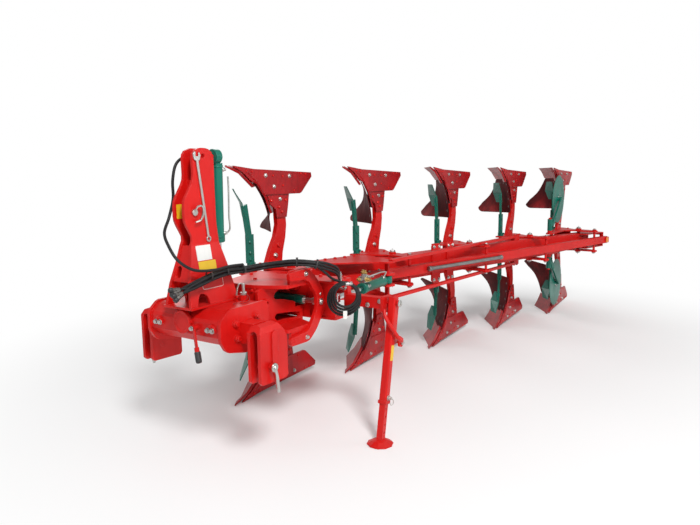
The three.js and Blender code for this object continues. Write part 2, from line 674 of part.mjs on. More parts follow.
function standLeg() {
  const holes = [70, 120, 170, 220].map((z) => ring(0, z, 7, 6));
  const half = STAND_INNER / 2;
  const shaft = plateXZ([[-half, 14], [-half, 760], [half, 760], [half, 14]], -half, half, holes);
  const dish = new THREE.LatheGeometry(
    [[0, 0], [82, 0], [84, 5], [46, 26], [0, 34]].map(([r, z]) => new THREE.Vector2(r, z)),
    10,
  );
  const foot = solid(dish, new THREE.Matrix4().makeRotationX(Math.PI / 2).setPosition(standFoot));
  return solid(geometryOf(shaft), standPlace).add(foot);
}

node("stand_tube", standTube(), RED);
node("stand_leg", standLeg(), RED);

// ---------------------------------------------------------------- hose coil on the carrier

// One hose lies in a round coil; its lead and two more hoses run on to the turning shaft.
class Coil extends THREE.Curve {
  getPoint(t) {
    const turn = 2 * Math.PI * COIL_LOOPS * t + Math.PI / 2;
    const side = COIL_RADIUS * Math.cos(turn);
    const spread = COIL_PITCH * COIL_LOOPS * (t - 0.5);
    return new THREE.Vector3(
      COIL_CENTRE[0] + side * Math.sin(COIL_TURN) + spread * Math.cos(COIL_TURN),
      COIL_CENTRE[1] - side * Math.cos(COIL_TURN) + spread * Math.sin(COIL_TURN),
      COIL_CENTRE[2] + COIL_RADIUS * Math.sin(turn),
    );
  }
}

function coilRoute() {
  const coil = new Coil();
  const points = [];
  const steps = 24 * COIL_LOOPS;
  for (let i = 0; i <= steps; i++) points.push(coil.getPoint(i / steps));
  return points;
}

function leastGap(points, reach) {
  let least = Infinity;
  points.forEach((p, i) => {
    for (let j = i + reach; j < points.length; j++) least = Math.min(least, p.distanceTo(points[j]));
  });
  return least;
}

function hoseCoil() {
  const points = coilRoute();
  console.log("least gap between the coil's loops, mm:", (leastGap(points, 12) - 2 * HOSE_RADIUS).toFixed(2));
  const [y0, z0] = hoseEnd(0);
  const start = points[points.length - 1];
  const lead = [
    [start.x - 38, start.y + 40, start.z + 10], [560, -446, 1070], [500, -404, 1120], [440, -300, 1130], [360, -190, 1126],
    [HOSE_SPLIT_X + 30, y0, z0], [HOSE_SPLIT_X + 0.3, y0, z0],
  ].map((p) => new THREE.Vector3(...p));
  const whole = new THREE.CatmullRomCurve3([...points, ...lead], false, "centripetal");
  const others = [1, 2].map((i) => {
    const [y, z] = hoseEnd(i);
    return tube(
      through(
        [HOSE_SPLIT_X + 0.3, y, z], [HOSE_SPLIT_X + 30, y, z], [362, y - 74, z + 10 + 6 * i], [440, -300 - 8 * i, 1134 + 8 * i],
        [505, -402, 1124 + 14 * i], [566, -448, 1082 + 18 * i], [660, -462, 1040 + 20 * i], [750, -430, 984 + 22 * i],
      ),
      HOSE_RADIUS, 5, 8,
    );
  });
  const clip = box([446, 466], [-356, -300], [1110, 1160]);
  return joined(tube(whole, HOSE_RADIUS, 5, 76), others, clip);
}

node("hose_coil", hoseCoil(), RUBBER);

// ---------------------------------------------------------------- main beam

// Everything on the beam is placed in its own frame: +X along it, +Y towards the legs.
const beam = new THREE.Group();
beam.position.set(...MAIN_PIVOT, 0);
beam.rotation.z = BEAM_ANGLE;
plough.add(beam);

const pivotX = (i) => FIRST_PIVOT + PITCH * i;
const toBeam = ([x, y]) => {
  const dx = x - MAIN_PIVOT[0];
  const dy = y - MAIN_PIVOT[1];
  return [dx * along[0] + dy * along[1], dx * across[0] + dy * across[1]];
};

function mainBeam() {
  const profile = [
    [BEAM_FRONT, 90], [BEAM_FRONT + 15, BEAM_HALF_HEIGHT], [3600, BEAM_HALF_HEIGHT], [BEAM_REAR, 78],
    [BEAM_REAR, -78], [3600, -BEAM_HALF_HEIGHT], [BEAM_FRONT + 15, -BEAM_HALF_HEIGHT], [BEAM_FRONT, -90],
  ].map(([x, z]) => [x, z + AXIS_Z]);
  const [cx, cy] = toBeam(VARIO_REAR);
  const deck = [
    [420, -58, 10], [560, 60, 30], [1040, 60, 30], [1085, -58, 20], [cx + 60, cy + 10, 30], [cx + 40, cy - 44, 24],
    [cx - 46, cy - 44, 24], [cx - 70, cy + 20, 40],
  ];
  const low = AXIS_Z + 130;
  const high = AXIS_Z + 142;
  const riser = box([620, 1000], [-50, 50], [AXIS_Z + 100, low + 2]);
  const lug = plateXY([[cx - 40, cy - 40, 12], [cx - 40, cy + 46], [cx + 50, cy + 46], [cx + 50, cy - 40, 12]], AXIS_Z + 34, AXIS_Z + 52);
  const post = [[cy + 24, 34], [cy + 24, 132], [cy + 60, 132], [cy + 60, 34]].map(([y, z]) => [y, z + AXIS_Z]);
  const truss = flatBar([cx + 20, cy - 10, AXIS_Z + 142], [3250, -10, AXIS_Z + 142], 36, 24);
  const trussFoot = box([3180, 3262], [-34, 14], [AXIS_Z + 98, AXIS_Z + 154]);
  const endPlate = box([4480, FRAME_REAR], [-160, 62], [AXIS_Z + 76, AXIS_Z + 86]);
  const upper = joined(
    plateXY(deck, low, high),
    riser,
    lug,
    plateYZ(post, cx + 26, cx + 44),
    truss,
    trussFoot,
    endPlate,
    // Stiffening cheeks beside the third station
    plateXZ([[1825, AXIS_Z + 20], [1825, AXIS_Z + 178, 22], [1935, AXIS_Z + 178, 22], [1935, AXIS_Z + 20]], -76, -58),
    plateXZ([[2030, AXIS_Z + 20], [2030, AXIS_Z + 178, 20], [2122, AXIS_Z + 178, 20], [2122, AXIS_Z + 20]], -76, -58),
  );
  const rearWall = [[-160, -86], [62, -86], [62, 86], [-160, 86]].map(([y, z]) => [y, z + AXIS_Z]);
  const rearHole = [[-120, -50], [30, -50], [30, 50], [-120, 50]].map(([y, z]) => new THREE.Vector2(y, z + AXIS_Z));
  const rearEnd = plateYZ(rearWall, FRAME_REAR - 16, FRAME_REAR, [rearHole]);
  let body = joined(
    plateXZ(profile, -BEAM_HALF_WIDTH, BEAM_HALF_WIDTH),
    withTwin(upper),
    rearEnd,
    bar([cx, cy, AXIS_Z - 60], [cx, cy, AXIS_Z + 60], 15),
  );
  for (let i = 0; i < BODIES; i++) {
    body = body.subtract(bar([pivotX(i), 0, 700], [pivotX(i), 0, 1040], PIVOT_RADIUS + 2.4, 8));
  }
  return body.subtract(bar([0, 0, 700], [0, 0, 1040], 32.5, 12));
}

function steeringBar() {
  const rear = FRAME_REAR - 20;
  const half = STEER_HALF_WIDTH;
  const plan = [[-26, -20, 8], [-26, 20, 8], [40, 24], [760, 24], [800, half], [rear, half, 10], [rear, -half, 16], [800, -half], [760, -24], [40, -24]];
  let body = plateXY(plan.map(([x, y, cut]) => [x, y - STEER_OFFSET, cut]), AXIS_Z - STEER_HALF_HEIGHT, AXIS_Z + STEER_HALF_HEIGHT);
  // Length-adjusting joint ahead of the second station
  body = body.add(box([820, 1150], [-STEER_OFFSET - 38, -STEER_OFFSET + 38], [AXIS_Z - 34, AXIS_Z + 34]));
  body = body.add(box([rear - 70, rear], [-STEER_OFFSET - 40, -STEER_OFFSET - 28], [AXIS_Z - 34, AXIS_Z + 34]));
  for (let i = -1; i < BODIES; i++) {
    const x = i < 0 ? 0 : pivotX(i);
    body = body.subtract(bar([x, -STEER_OFFSET, 800], [x, -STEER_OFFSET, 940], STEER_PIN_RADIUS + 2, 8));
  }
  return body;
}

function widthSpindle() {
  const y = -STEER_OFFSET - STEER_HALF_WIDTH - 24.4;
  return joined(
    bar([1590, y, AXIS_Z], [2620, y, AXIS_Z], 17, 12),
    bar([1574, y, AXIS_Z], [1602, y, AXIS_Z], 24, 6),
    bar([2600, y, AXIS_Z], [2628, y, AXIS_Z], 24, 6),
  );
}

node("main_beam", mainBeam(), RED, beam);
node("steering_bar", steeringBar(), RED, beam);
node("width_spindle", widthSpindle(), ZINC, beam);

// Width cylinder, from the carrier to the beam's clevis
const varioRun = new THREE.Vector2(VARIO_FRONT[0] - VARIO_REAR[0], VARIO_FRONT[1] - VARIO_REAR[1]);
const VARIO_LENGTH = varioRun.length();
varioRun.normalize();
const onVario = (distance, rise = 0) => [
  VARIO_REAR[0] + varioRun.x * distance, VARIO_REAR[1] + varioRun.y * distance, AXIS_Z + rise,
];
const VARIO_MOUTH = 430;

function varioBarrel() {
  return joined(
    bar(onVario(0, -28), onVario(0, 28), 33, 10),
    bar(onVario(12), onVario(80), 26, 10),
    bar(onVario(70), onVario(VARIO_MOUTH), 36, 10),
    bar(onVario(VARIO_MOUTH - 36), onVario(VARIO_MOUTH), 41, 10),
  )
    .subtract(bar(onVario(0, -40), onVario(0, 40), 17.5))
    .subtract(bar(onVario(100), onVario(VARIO_MOUTH + 5), 19.6, 10));
}

function varioRod() {
  return joined(
    bar(onVario(VARIO_MOUTH - 70), onVario(VARIO_LENGTH - 22), 18, 10),
    bar(onVario(VARIO_LENGTH, -26), onVario(VARIO_LENGTH, 26), 34, 12),
  ).subtract(bar(onVario(VARIO_LENGTH, -40), onVario(VARIO_LENGTH, 40), 20, 12));
}

function valveBlock() {
  const [x, y] = onVario(390);
  return joined(
    box([x - 34, x + 34], [y - 26, y + 26], [AXIS_Z + 41.6, AXIS_Z + 84]),
    bar([x - 14, y, AXIS_Z + 80], [x - 14, y, AXIS_Z + 104], 12, 8),
    bar([x + 18, y, AXIS_Z + 80], [x + 18, y, AXIS_Z + 98], 10, 8),
    bar([x - 30, y, AXIS_Z + 64], [x - 64, y, AXIS_Z + 70], 11, 8),
  );
}

node("vario_barrel", varioBarrel(), TEAL);
node("vario_rod", varioRod(), ZINC);
node("valve_block", valveBlock(), ZINC);

// ---------------------------------------------------------------- working bodies

// Height above the furrow bottom, and distance s along a level line that starts at the landside:
// the surface that lifts and turns the slice. Its lines swing round as they rise.
const shinX = (z) => SHIN_REACH * (1 - (1 - Math.min(z, SHIN_HEIGHT) / SHIN_HEIGHT) ** 2) ** 0.6;
function boardAngle(z) {
  const above = Math.max(0, z - TURN_HEIGHT) / (500 - TURN_HEIGHT);
  const below = Math.max(0, TURN_HEIGHT - z) / TURN_HEIGHT;
  return THREE.MathUtils.degToRad(ANGLE_LEAST + ANGLE_AT_TOP * above ** 1.6 + ANGLE_AT_EDGE * below ** 1.5);
}
function onBoard(s, z, back = 0) {
  const angle = boardAngle(z);
  const lean = 0.16 * Math.max(0, z - 330) * (s / BOARD_LENGTH);
  return new THREE.Vector3(shinX(z) + back + s * Math.cos(angle) - lean, s * Math.sin(angle) + lean, z);
}
function lifted(s, z, lift, back = 0) {
  const p = onBoard(s, z, back);
  const ds = onBoard(s + 1, z, back).sub(p);
  const dz = onBoard(s, z + 1, back).sub(onBoard(s, Math.max(z - 1, 0), back));
  const normal = new THREE.Vector3().crossVectors(dz, ds).normalize();
  return p.addScaledVector(normal, lift).toArray();
}

const BOARD_BACK = 24;

function mouldboard() {
  const low = (s) => SHARE_HEIGHT + 4 + (s > 460 ? ((s - 460) / 370) ** 1.4 * 290 : 0);
  const high = (s) => 500 + 0.03 * s - (s > 640 ? ((s - 640) / 190) ** 2 * 45 : 0);
  return sheet(5, 3, (u, v, face) => {
    const s = u * BOARD_LENGTH;
    const z = low(s) + (high(s) - low(s)) * v;
    return lifted(s, z, face * BOARD_THICKNESS, BOARD_BACK);
  });
}

// Share, point, frog and landside of one body
function shareAndFrog() {
  const blade = sheet(1, 2, (u, v, face) => {
    const z = SHARE_HEIGHT * v ** 1.6;
    return lifted(30 + u * (SHARE_LENGTH - 30), z, face * Math.min(12, 2 + 0.6 * z), BOARD_BACK);
  });
  const point = sheet(1, 2, (u, v, face) => {
    const z = 150 * v ** 1.8;
    return lifted(-8 + u * 70, z, face * Math.min(20, 12 + 0.5 * z), 0);
  });
  const frogRows = [60, 117, 140, 240, 360];
  const frog = sheet(1, 4, (u, v, face) => {
    const z = frogRows[Math.round(v * 4)];
    return lifted(-8 + u * 330, z, face ? (z < 120 ? 5 : -14) : -28, BOARD_BACK);
  });
  const shin = [
    ...[14, 50, 112].map((z) => [shinX(z) + 4, z]),
    ...[118, 215].map((z) => [shinX(z) + BOARD_BACK + 12, z]),
  ];
  const landside = plateXZ(
    [...shin, [836, 215, 14], [LANDSIDE_REAR, 80], [LANDSIDE_REAR - 8, 46], [280, 24], [70, 3]],
    -12, 0,
  );
  const upright = plateXZ([[425, 190], [470, 292], [532, 330], [545, 396], [660, 396], [682, 300, 20], [700, 190]], 0, 14);
  return joined(blade, point, frog, landside, upright);
}

// Both legs of a station with the bracket that pivots on the beam, in the station's own frame.
const pivotLocal = [
  along[0] * PIVOT_ALONG - across[0] * BEAM_OFFSET,
  along[1] * PIVOT_ALONG - across[1] * BEAM_OFFSET,
];
const steerLocal = [pivotLocal[0] - across[0] * STEER_OFFSET, pivotLocal[1] - across[1] * STEER_OFFSET];
const SKIM = [275, 45];

function legPair(withDiscPosts) {
  const [px, py] = pivotLocal;
  const [qx, qy] = steerLocal;
  const leg = [
    [550, 236], [554, 380], [560, 450], [530, 545], [470, 640], [418, 750], [418, AXIS_Z], [606, AXIS_Z],
    [604, 760], [616, 670], [652, 560], [668, 460], [662, 370], [655, 236],
  ];
  const deck = [
    [qx - 46, qy - 8], [qx - 12, qy - 48, 26], [qx + 48, qy - 8], [px + 74, py - 20], [480, -180],
    [660, -10, 20], [660, 58], [430, 60], [330, 84], [225, 84], [225, 10], [px - 70, py + 40],
  ];
  const holes = [ring(SKIM[0], SKIM[1], 24.5)];
  const parts = [
    plateXY(deck, AXIS_Z + PLATE_LOW, AXIS_Z + PLATE_HIGH, holes),
    bar([px, py, AXIS_Z], [px, py, AXIS_Z + PLATE_LOW + 3], PIVOT_RADIUS),
    bar([px, py, AXIS_Z + PLATE_HIGH - 3], [px, py, AXIS_Z + PLATE_HIGH + 16], 34, 6),
    bar([qx, qy, AXIS_Z], [qx, qy, AXIS_Z + PLATE_LOW + 3], STEER_PIN_RADIUS),
    bar([qx, qy, AXIS_Z + PLATE_HIGH - 3], [qx, qy, AXIS_Z + PLATE_HIGH + 12], 24, 6),
    flatBar([470, -130, AXIS_Z + 56], [560, 24, AXIS_Z + 56], 16, 112),
  ];
  if (withDiscPosts) {
    const [x, y] = DISC_POST;
    const arm = [[x - 36, y - 36, 20], [x - 36, y + 36, 20], [250, 40], [360, -100], [x + 40, y - 36]];
    parts.push(plateXY(arm, AXIS_Z + PLATE_LOW, AXIS_Z + PLATE_HIGH));
    parts.push(bar([x, y, AXIS_Z + PLATE_HIGH - 4], [x, y, AXIS_Z + 298], 17));
    parts.push(bar([x, y, AXIS_Z + PLATE_HIGH - 4], [x, y, AXIS_Z + 152], 26));
  }
  const half = joined(parts);
  return joined(withTwin(half), withTwin(plateXZ(leg, 14.6, 14.6 + LEG_THICKNESS)));
}

// A pair of skimmers on one stalk that passes through the bracket.
function skimmerPair() {
  const [x, y] = SKIM;
  const reach = (z) => 130 * (1 - (1 - z / 300) ** 2) ** 0.62;
  const board = sheet(1, 2, (u, v, face) => {
    const z = 210 * v;
    const s = u * (90 + 90 * Math.sin(Math.PI * Math.min(1, v + 0.15)));
    const angle = THREE.MathUtils.degToRad(42 + 14 * v);
    const front = 7 * face;
    return [78 + reach(z) + s * Math.cos(angle) - front * 0.7, 10 + s * Math.sin(angle) + front * 0.7, 165 + z];
  });
  const lower = joined(
    board,
    bar([x, y, AXIS_Z + 1], [x, y, 700], 21, 6),
    bar([x, y, AXIS_Z - 124.6], [x, y, AXIS_Z - 158], 31, 6),
    box([x - 38, x + 26], [y - 13, y + 15], [505, 718]),
    flatBar([x - 6, y + 1, 560], [x - 66, y - 12, 285], 20, 60),
  );
  return withTwin(lower);
}

const twin = new THREE.Matrix4().makeScale(1, 1, -1).setPosition(0, 0, 2 * AXIS_Z);
const boardShape = geometryOf(mouldboard());
const shareShape = geometryOf(shareAndFrog());
const legShape = geometryOf(legPair(false));
const lastLegShape = geometryOf(legPair(true));
const skimmerShape = geometryOf(skimmerPair());

// A disc coulter with its hub, and the cranked arm that carries it on the post.
function disc() {
  const profile = [
    [0, -14], [40, -14], [60, -3.5], [DISC_RADIUS - 14, -3.5], [DISC_RADIUS, 0],
    [DISC_RADIUS - 14, 3.5], [60, 3.5], [40, 14], [0, 14],
  ].map(([r, t]) => new THREE.Vector2(r, t));
  const [x, y, z] = DISC_CENTRE;
  return solid(new THREE.LatheGeometry(profile, 16), new THREE.Matrix4().makeTranslation(x, y, z)).subtract(
    bar([x, y - 30, z], [x, y + 30, z], 10.6, 8),
  );
}

function discArm() {
  const [x, y, z] = DISC_CENTRE;
  const [px, py] = DISC_POST;
  const top = AXIS_Z - 153;
  return joined(
    bar([px, py, top], [px, py, top - 130], 28),
    flatBar([px + 20, py - 22, top - 50], [px + 90, y - 34, top - 150], 18, 44),
    flatBar([px + 76, y - 34, top - 130], [x + 6, y - 34, z - 6], 18, 44),
    bar([x, y - 44, z], [x, y - 16, z], 26, 8),
    bar([x, y - 20, z], [x, y + 20, z], 9.5, 8),
  ).subtract(bar([px, py, top + 5], [px, py, top - 190], 18.8));
}

for (let i = 0; i < BODIES; i++) {
  const station = new THREE.Group();
  station.position.set(TIP[0] + STEP[0] * i, TIP[1] + STEP[1] * i, 0);
  plough.add(station);
  const n = i + 1;
  node("leg_" + n, n === BODIES ? lastLegShape : legShape, RED, station);
  node("skimmer_" + n, skimmerShape, TEAL, station);
  for (const end of ["lower", "upper"]) {
    const side = new THREE.Group();
    if (end === "upper") side.applyMatrix4(twin);
    station.add(side);
    node("mouldboard_" + end + "_" + n, boardShape, BURNISHED, side);
    node("share_" + end + "_" + n, shareShape, RED, side);
    if (n === BODIES) {
      node("disc_" + end, disc(), TEAL, side);
      node("disc_arm_" + end, discArm(), TEAL, side);
    }
  }
}

// ---------------------------------------------------------------- reference point

// The origin of the finished part is on the ground under the middle of its outline.
plough.updateMatrixWorld(true);
const bounds = new THREE.Box3().setFromObject(plough, true);
const middle = bounds.getCenter(new THREE.Vector3());
plough.position.set(-middle.x, -middle.y, -bounds.min.z);
console.log("origin shift, mm:", plough.position.toArray().map((v) => v.toFixed(3)).join(", "));
const extent = bounds.getSize(new THREE.Vector3());
console.log("size, mm:", extent.toArray().map((v) => v.toFixed(1)).join(" x "));

export default plough;
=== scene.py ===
# %% [markdown]
# A reversible plough, dressed for its picture
#
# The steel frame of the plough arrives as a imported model, and this notebook gives it its skin: paint that is
# worn at the edges, polished boards, hoses, bolts and cylinders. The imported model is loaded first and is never
# moved. Everything added here rides on one of its moving bodies, so it also looks right when the plough turns
# over or swings out.

# %% Load the frame
import json
import math

import bmesh
import bpy
from mathutils import Matrix, Vector

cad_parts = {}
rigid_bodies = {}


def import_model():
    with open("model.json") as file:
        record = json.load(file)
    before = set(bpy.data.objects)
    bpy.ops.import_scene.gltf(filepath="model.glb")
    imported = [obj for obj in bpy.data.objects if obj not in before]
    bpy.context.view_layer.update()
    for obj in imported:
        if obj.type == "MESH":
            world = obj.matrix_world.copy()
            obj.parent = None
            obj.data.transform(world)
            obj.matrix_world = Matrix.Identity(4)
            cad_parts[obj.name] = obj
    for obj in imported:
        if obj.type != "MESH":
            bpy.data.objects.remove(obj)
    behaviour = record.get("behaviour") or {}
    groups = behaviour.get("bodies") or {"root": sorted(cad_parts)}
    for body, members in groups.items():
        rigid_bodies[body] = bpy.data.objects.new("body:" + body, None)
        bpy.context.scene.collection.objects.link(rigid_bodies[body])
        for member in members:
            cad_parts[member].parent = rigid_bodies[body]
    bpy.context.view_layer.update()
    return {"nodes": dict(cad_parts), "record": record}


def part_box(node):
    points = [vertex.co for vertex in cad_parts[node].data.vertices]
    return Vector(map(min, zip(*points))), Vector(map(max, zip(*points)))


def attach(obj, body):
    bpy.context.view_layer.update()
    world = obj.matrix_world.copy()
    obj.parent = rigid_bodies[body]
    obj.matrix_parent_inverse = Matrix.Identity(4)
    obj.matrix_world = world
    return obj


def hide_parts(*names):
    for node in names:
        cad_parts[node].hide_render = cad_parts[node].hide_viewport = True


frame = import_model()

# %% [markdown]
# The drawing frame
#
# The plough is drawn in millimetres from a point on the ground under the hitch, which is how its drawings give
# sizes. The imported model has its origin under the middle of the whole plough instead. The main shaft is a plain
# bar whose rear end lies 500 mm behind the hitch and whose middle lies on the centre line, so its box gives the
# step from one origin to the other.

# %% Find the drawing's origin
shaft_low, shaft_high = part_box("main_axle")
SHAFT_END = 0.500
ORIGIN = Vector((shaft_high.x - SHAFT_END, (shaft_low.y + shaft_high.y) / 2, 0))
AXIS_Z = 870  # level of the main shaft
TIP = (680, 465)  # point of the first share, from above
STEP = (1020, -297)  # from one body to the next
BEAM_START = 120  # how far the beam's own origin lies behind the first tip and to its right
PITCH = math.hypot(*STEP)
ALONG = (STEP[0] / PITCH, STEP[1] / PITCH)
ACROSS = (-ALONG[1], ALONG[0])
BODIES, ENDS = range(1, 6), ("lower", "upper")
FRONT, REAR, NEAR, FAR, UP, DOWN = (-1, 0, 0), (1, 0, 0), (0, -1, 0), (0, 1, 0), (0, 0, 1), (0, 0, -1)
BEAM_RUN, BEAM_SIDE = (*ALONG, 0), (-ACROSS[0], -ACROSS[1], 0)


def at(x, y, z):
    """A point of the drawing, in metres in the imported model's frame."""
    return ORIGIN + Vector((x, y, z)) / 1000


def route(points):
    return [at(*p) for p in points]


def on_beam(x, right, z):
    """A point given along the main beam, to its right, and above the ground."""
    x += BEAM_START
    right -= BEAM_START
    return at(TIP[0] + ALONG[0] * x + ACROSS[0] * right, TIP[1] + ALONG[1] * x + ACROSS[1] * right, z)


def at_station(number, x, y, z):
    """A point given from the tip of one body's share."""
    return at(TIP[0] + STEP[0] * (number - 1) + x, TIP[1] + STEP[1] * (number - 1) + y, z)


STAND_TOP, STAND_FOOT = at(862, -752, 862), at(690, -752, 0)
stand_run = (STAND_TOP - STAND_FOOT).normalized()
stand_side = Vector((stand_run.z, 0, -stand_run.x))


def on_stand(height, aside, out):
    """A point along the leaning stand, across it, and out of its face."""
    return STAND_FOOT + stand_run * height / 1000 + stand_side * aside / 1000 + Vector((0, out, 0)) / 1000


print("drawing origin:", [round(v, 4) for v in ORIGIN])

# %% [markdown]
# The camera
#
# The picture was taken by somebody standing in front of the left end of the hitch, about 1.6 m up, with a wide
# lens. The heading, the pitch and the slight roll were solved from the equal spacing of the five bodies, and
# the three directions that they give are the columns of the camera's matrix.

# %% Set the camera
HEADING, PITCH_DOWN, ROLL = (math.radians(v) for v in (-57.2, 8.05, -0.7))
STANDPOINT = (-2323, -2487, 1633)
FOCAL_PIXELS, PICTURE_WIDTH, SENSOR = 588.9, 700, 36
right = Vector((math.cos(HEADING), math.sin(HEADING), 0))
level = math.cos(PITCH_DOWN)
ahead = Vector((-math.sin(HEADING) * level, math.cos(HEADING) * level, -math.sin(PITCH_DOWN)))
up = right.cross(ahead)
right, up = right * math.cos(ROLL) + up * math.sin(ROLL), up * math.cos(ROLL) - right * math.sin(ROLL)


def add_object(name, data):
    thing = bpy.data.objects.new(name, data)
    bpy.context.scene.collection.objects.link(thing)
    return thing


camera_data = bpy.data.cameras.new("camera")
camera_data.sensor_width = SENSOR
camera_data.lens = SENSOR * FOCAL_PIXELS / PICTURE_WIDTH
camera = add_object("camera", camera_data)
camera.matrix_world = Matrix((right, up, -ahead)).transposed().to_4x4()
camera.location = at(*STANDPOINT)
bpy.context.scene.camera = camera
print("camera at", [round(v, 3) for v in camera.location], "lens", round(camera_data.lens, 2))

# %% [markdown]
# Shapes that build up a piece
#
# Most of what is added is turned, bent or bolted on, so three ways of making a mesh cover nearly all of it: a
# profile turned about an axis, a round section carried along a curve, and a flat outline with thickness. A
# maker object collects them in one mesh, so that a row of bolts is one piece, and marks the sharp edges by
# their angle, so that round faces shade smoothly and corners stay crisp.

# %% Mesh maker
LEAST_RADIUS = 0.05  # mm, so that a tip is still a ring
WASHER = 2


def circle(sides, turn=0.0):
    """Cosine and sine of evenly spaced angles."""
    return [(math.cos(a), math.sin(a)) for a in (2 * math.pi * i / sides + turn for i in range(sides))]


def oblong(middle, across, rise, wide, high):
    """The four corners of an oblong about a point; its size is in millimetres."""
    across, rise = Vector(across) * wide / 2000, Vector(rise) * high / 2000
    return [middle + across * x + rise * y for x, y in ((-1, -1), (1, -1), (1, 1), (-1, 1))]


class Maker:
    def __init__(self):
        self.mesh = bmesh.new()

    def strip(self, rings, close_ends=True, around=True):
        """Joins rings of points into a skin."""
        rows = [[self.mesh.verts.new(p) for p in ring] for ring in rings]
        count = len(rows[0])
        for a, b in zip(rows, rows[1:]):
            for i in range(count if around else count - 1):
                j = (i + 1) % count
                self.mesh.faces.new((a[i], a[j], b[j], b[i]))
        if close_ends:
            self.mesh.faces.new(list(reversed(rows[0])))
            self.mesh.faces.new(rows[-1])

    def lathe(self, origin, direction, profile, sides=32, turn=0.0):
        """Turns (distance, radius) pairs, in millimetres, about an axis."""
        axis = Vector(direction).normalized()
        side = axis.orthogonal().normalized()
        other = axis.cross(side)
        spokes = [side * c + other * s for c, s in circle(sides, turn)]
        self.strip([
            [origin + axis * distance / 1000 + spoke * max(radius, LEAST_RADIUS) / 1000 for spoke in spokes]
            for distance, radius in profile
        ])

    def tube(self, points, radius, sides=12, smooth=6):
        """A round section, radius in millimetres, along a smooth curve through the points."""
        path = smooth_path(points, smooth)
        normal = (path[1] - path[0]).orthogonal().normalized()
        rings = []
        for i, p in enumerate(path):
            run = (path[min(i + 1, len(path) - 1)] - path[max(i - 1, 0)]).normalized()
            normal = (normal - run * normal.dot(run)).normalized()
            other = run.cross(normal)
            rings.append([p + (normal * c + other * s) * radius / 1000 for c, s in circle(sides)])
        self.strip(rings)
        return path

    def plate(self, corners, thickness, normal, edge=1.0):
        """A flat plate on the given corners, with its edges eased, raised along the normal."""
        normal = Vector(normal).normalized()
        middle = sum(corners, Vector()) / len(corners)
        inner = [p + (middle - p).normalized() * edge / 1000 for p in corners]
        rise = normal * thickness / 1000
        ease = normal * min(edge, thickness / 2) / 1000
        self.strip([corners, [p + rise - ease for p in corners], [p + rise for p in inner]])

    def bolt(self, seat, direction, size, height, washer=True):
        """A hexagon head on a washer; size is the width across corners, in millimetres."""
        radius, base = size / 2, WASHER if washer else 0
        if washer:
            rim = radius * 1.22
            self.lathe(seat, direction, [(0, rim), (base - 0.4, rim), (base, radius * 1.15), (base, 0)], 20)
        top, chamfer = base + height, base + height * 0.8
        self.lathe(seat, direction, [(base, radius), (chamfer, radius), (top, radius * 0.84), (top, 0)], 6, 0.3)

    def bolts(self, seats, direction, size, height, washer=True):
        for seat in seats:
            self.bolt(seat, direction, size, height, washer)

    def done(self, name, body, material, angle=34, slot=None):
        bmesh.ops.remove_doubles(self.mesh, verts=self.mesh.verts, dist=1e-6)
        bmesh.ops.recalc_face_normals(self.mesh, faces=self.mesh.faces)
        limit = math.radians(angle)
        for face in self.mesh.faces:
            face.smooth = True
        for edge in self.mesh.edges:
            edge.smooth = len(edge.link_faces) == 2 and edge.calc_face_angle(0) < limit
        data = bpy.data.meshes.new(name)
        self.mesh.to_mesh(data)
        self.mesh.free()
        data.materials.append(material)
        piece = add_object(name, data)
        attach(piece, body)
        return piece


def smooth_path(points, steps):
    """Points on a centripetal Catmull-Rom curve, so that a hose bends evenly."""
    if steps <= 1 or len(points) < 3:
        return [Vector(p) for p in points]
    ends = [points[0] * 2 - points[1]] + list(points) + [points[-1] * 2 - points[-2]]
    path = []
    for a, b, c, d in zip(ends, ends[1:], ends[2:], ends[3:]):
        t1 = (b - a).length ** 0.5
        t2 = t1 + (c - b).length ** 0.5
        t3 = t2 + (d - c).length ** 0.5
        for k in range(steps):
            t = t1 + (t2 - t1) * k / steps
            ab = a.lerp(b, t / t1)
            bc = b.lerp(c, (t - t1) / (t2 - t1))
            cd = c.lerp(d, (t - t2) / (t3 - t2))
            abc = ab.lerp(bc, t / t2)
            bcd = bc.lerp(cd, (t - t1) / (t3 - t1))
            path.append(abc.lerp(bcd, (t - t1) / (t2 - t1)))
    path.append(Vector(points[-1]))
    return path


print("mesh maker ready")

# %% [markdown]
# Effects shared by the finishes
#
# Three things happen to every surface of a farm machine that has stood in a yard: its edges wear first, dust
# settles on what faces up, and its colour is never quite even. Each is a node group that puts out a mask or a
# height, and each material decides what to do with it. The wear group compares the true surface direction with
# one that is averaged over a few millimetres: they differ only near an edge.

# %% Shared effects as node groups
def feed(tree, made, inputs):
    """Joins each input named to a socket, or sets it to a value."""
    for key, value in inputs.items():
        if hasattr(value, "is_linked"):
            tree.links.new(value, made.inputs[key])
        else:
            made.inputs[key].default_value = value


def node(tree, kind, inputs=None, **settings):
    made = tree.nodes.new("ShaderNode" + kind)
    for key, value in settings.items():
        setattr(made, key, value)
    feed(tree, made, inputs or {})
    return made


def node_group(name, inputs, outputs):
    group = bpy.data.node_groups.new(name, "ShaderNodeTree")
    for title in inputs:
        group.interface.new_socket(title, in_out="INPUT", socket_type="NodeSocketFloat")
    for title in outputs:
        kind = "Vector" if "Normal" in title else "Float"
        group.interface.new_socket(title, in_out="OUTPUT", socket_type="NodeSocket" + kind)
    return group, group.nodes.new("NodeGroupInput").outputs, group.nodes.new("NodeGroupOutput")


def maths(tree, operation, *values):
    return node(tree, "Math", dict(enumerate(values)), operation=operation).outputs[0]


def noise(tree, scale, detail, roughness, place=None):
    place = place or node(tree, "TexCoord").outputs["Object"]
    inputs = {"Vector": place, "Scale": scale, "Detail": detail, "Roughness": roughness}
    return node(tree, "TexNoise", inputs).outputs["Fac"]


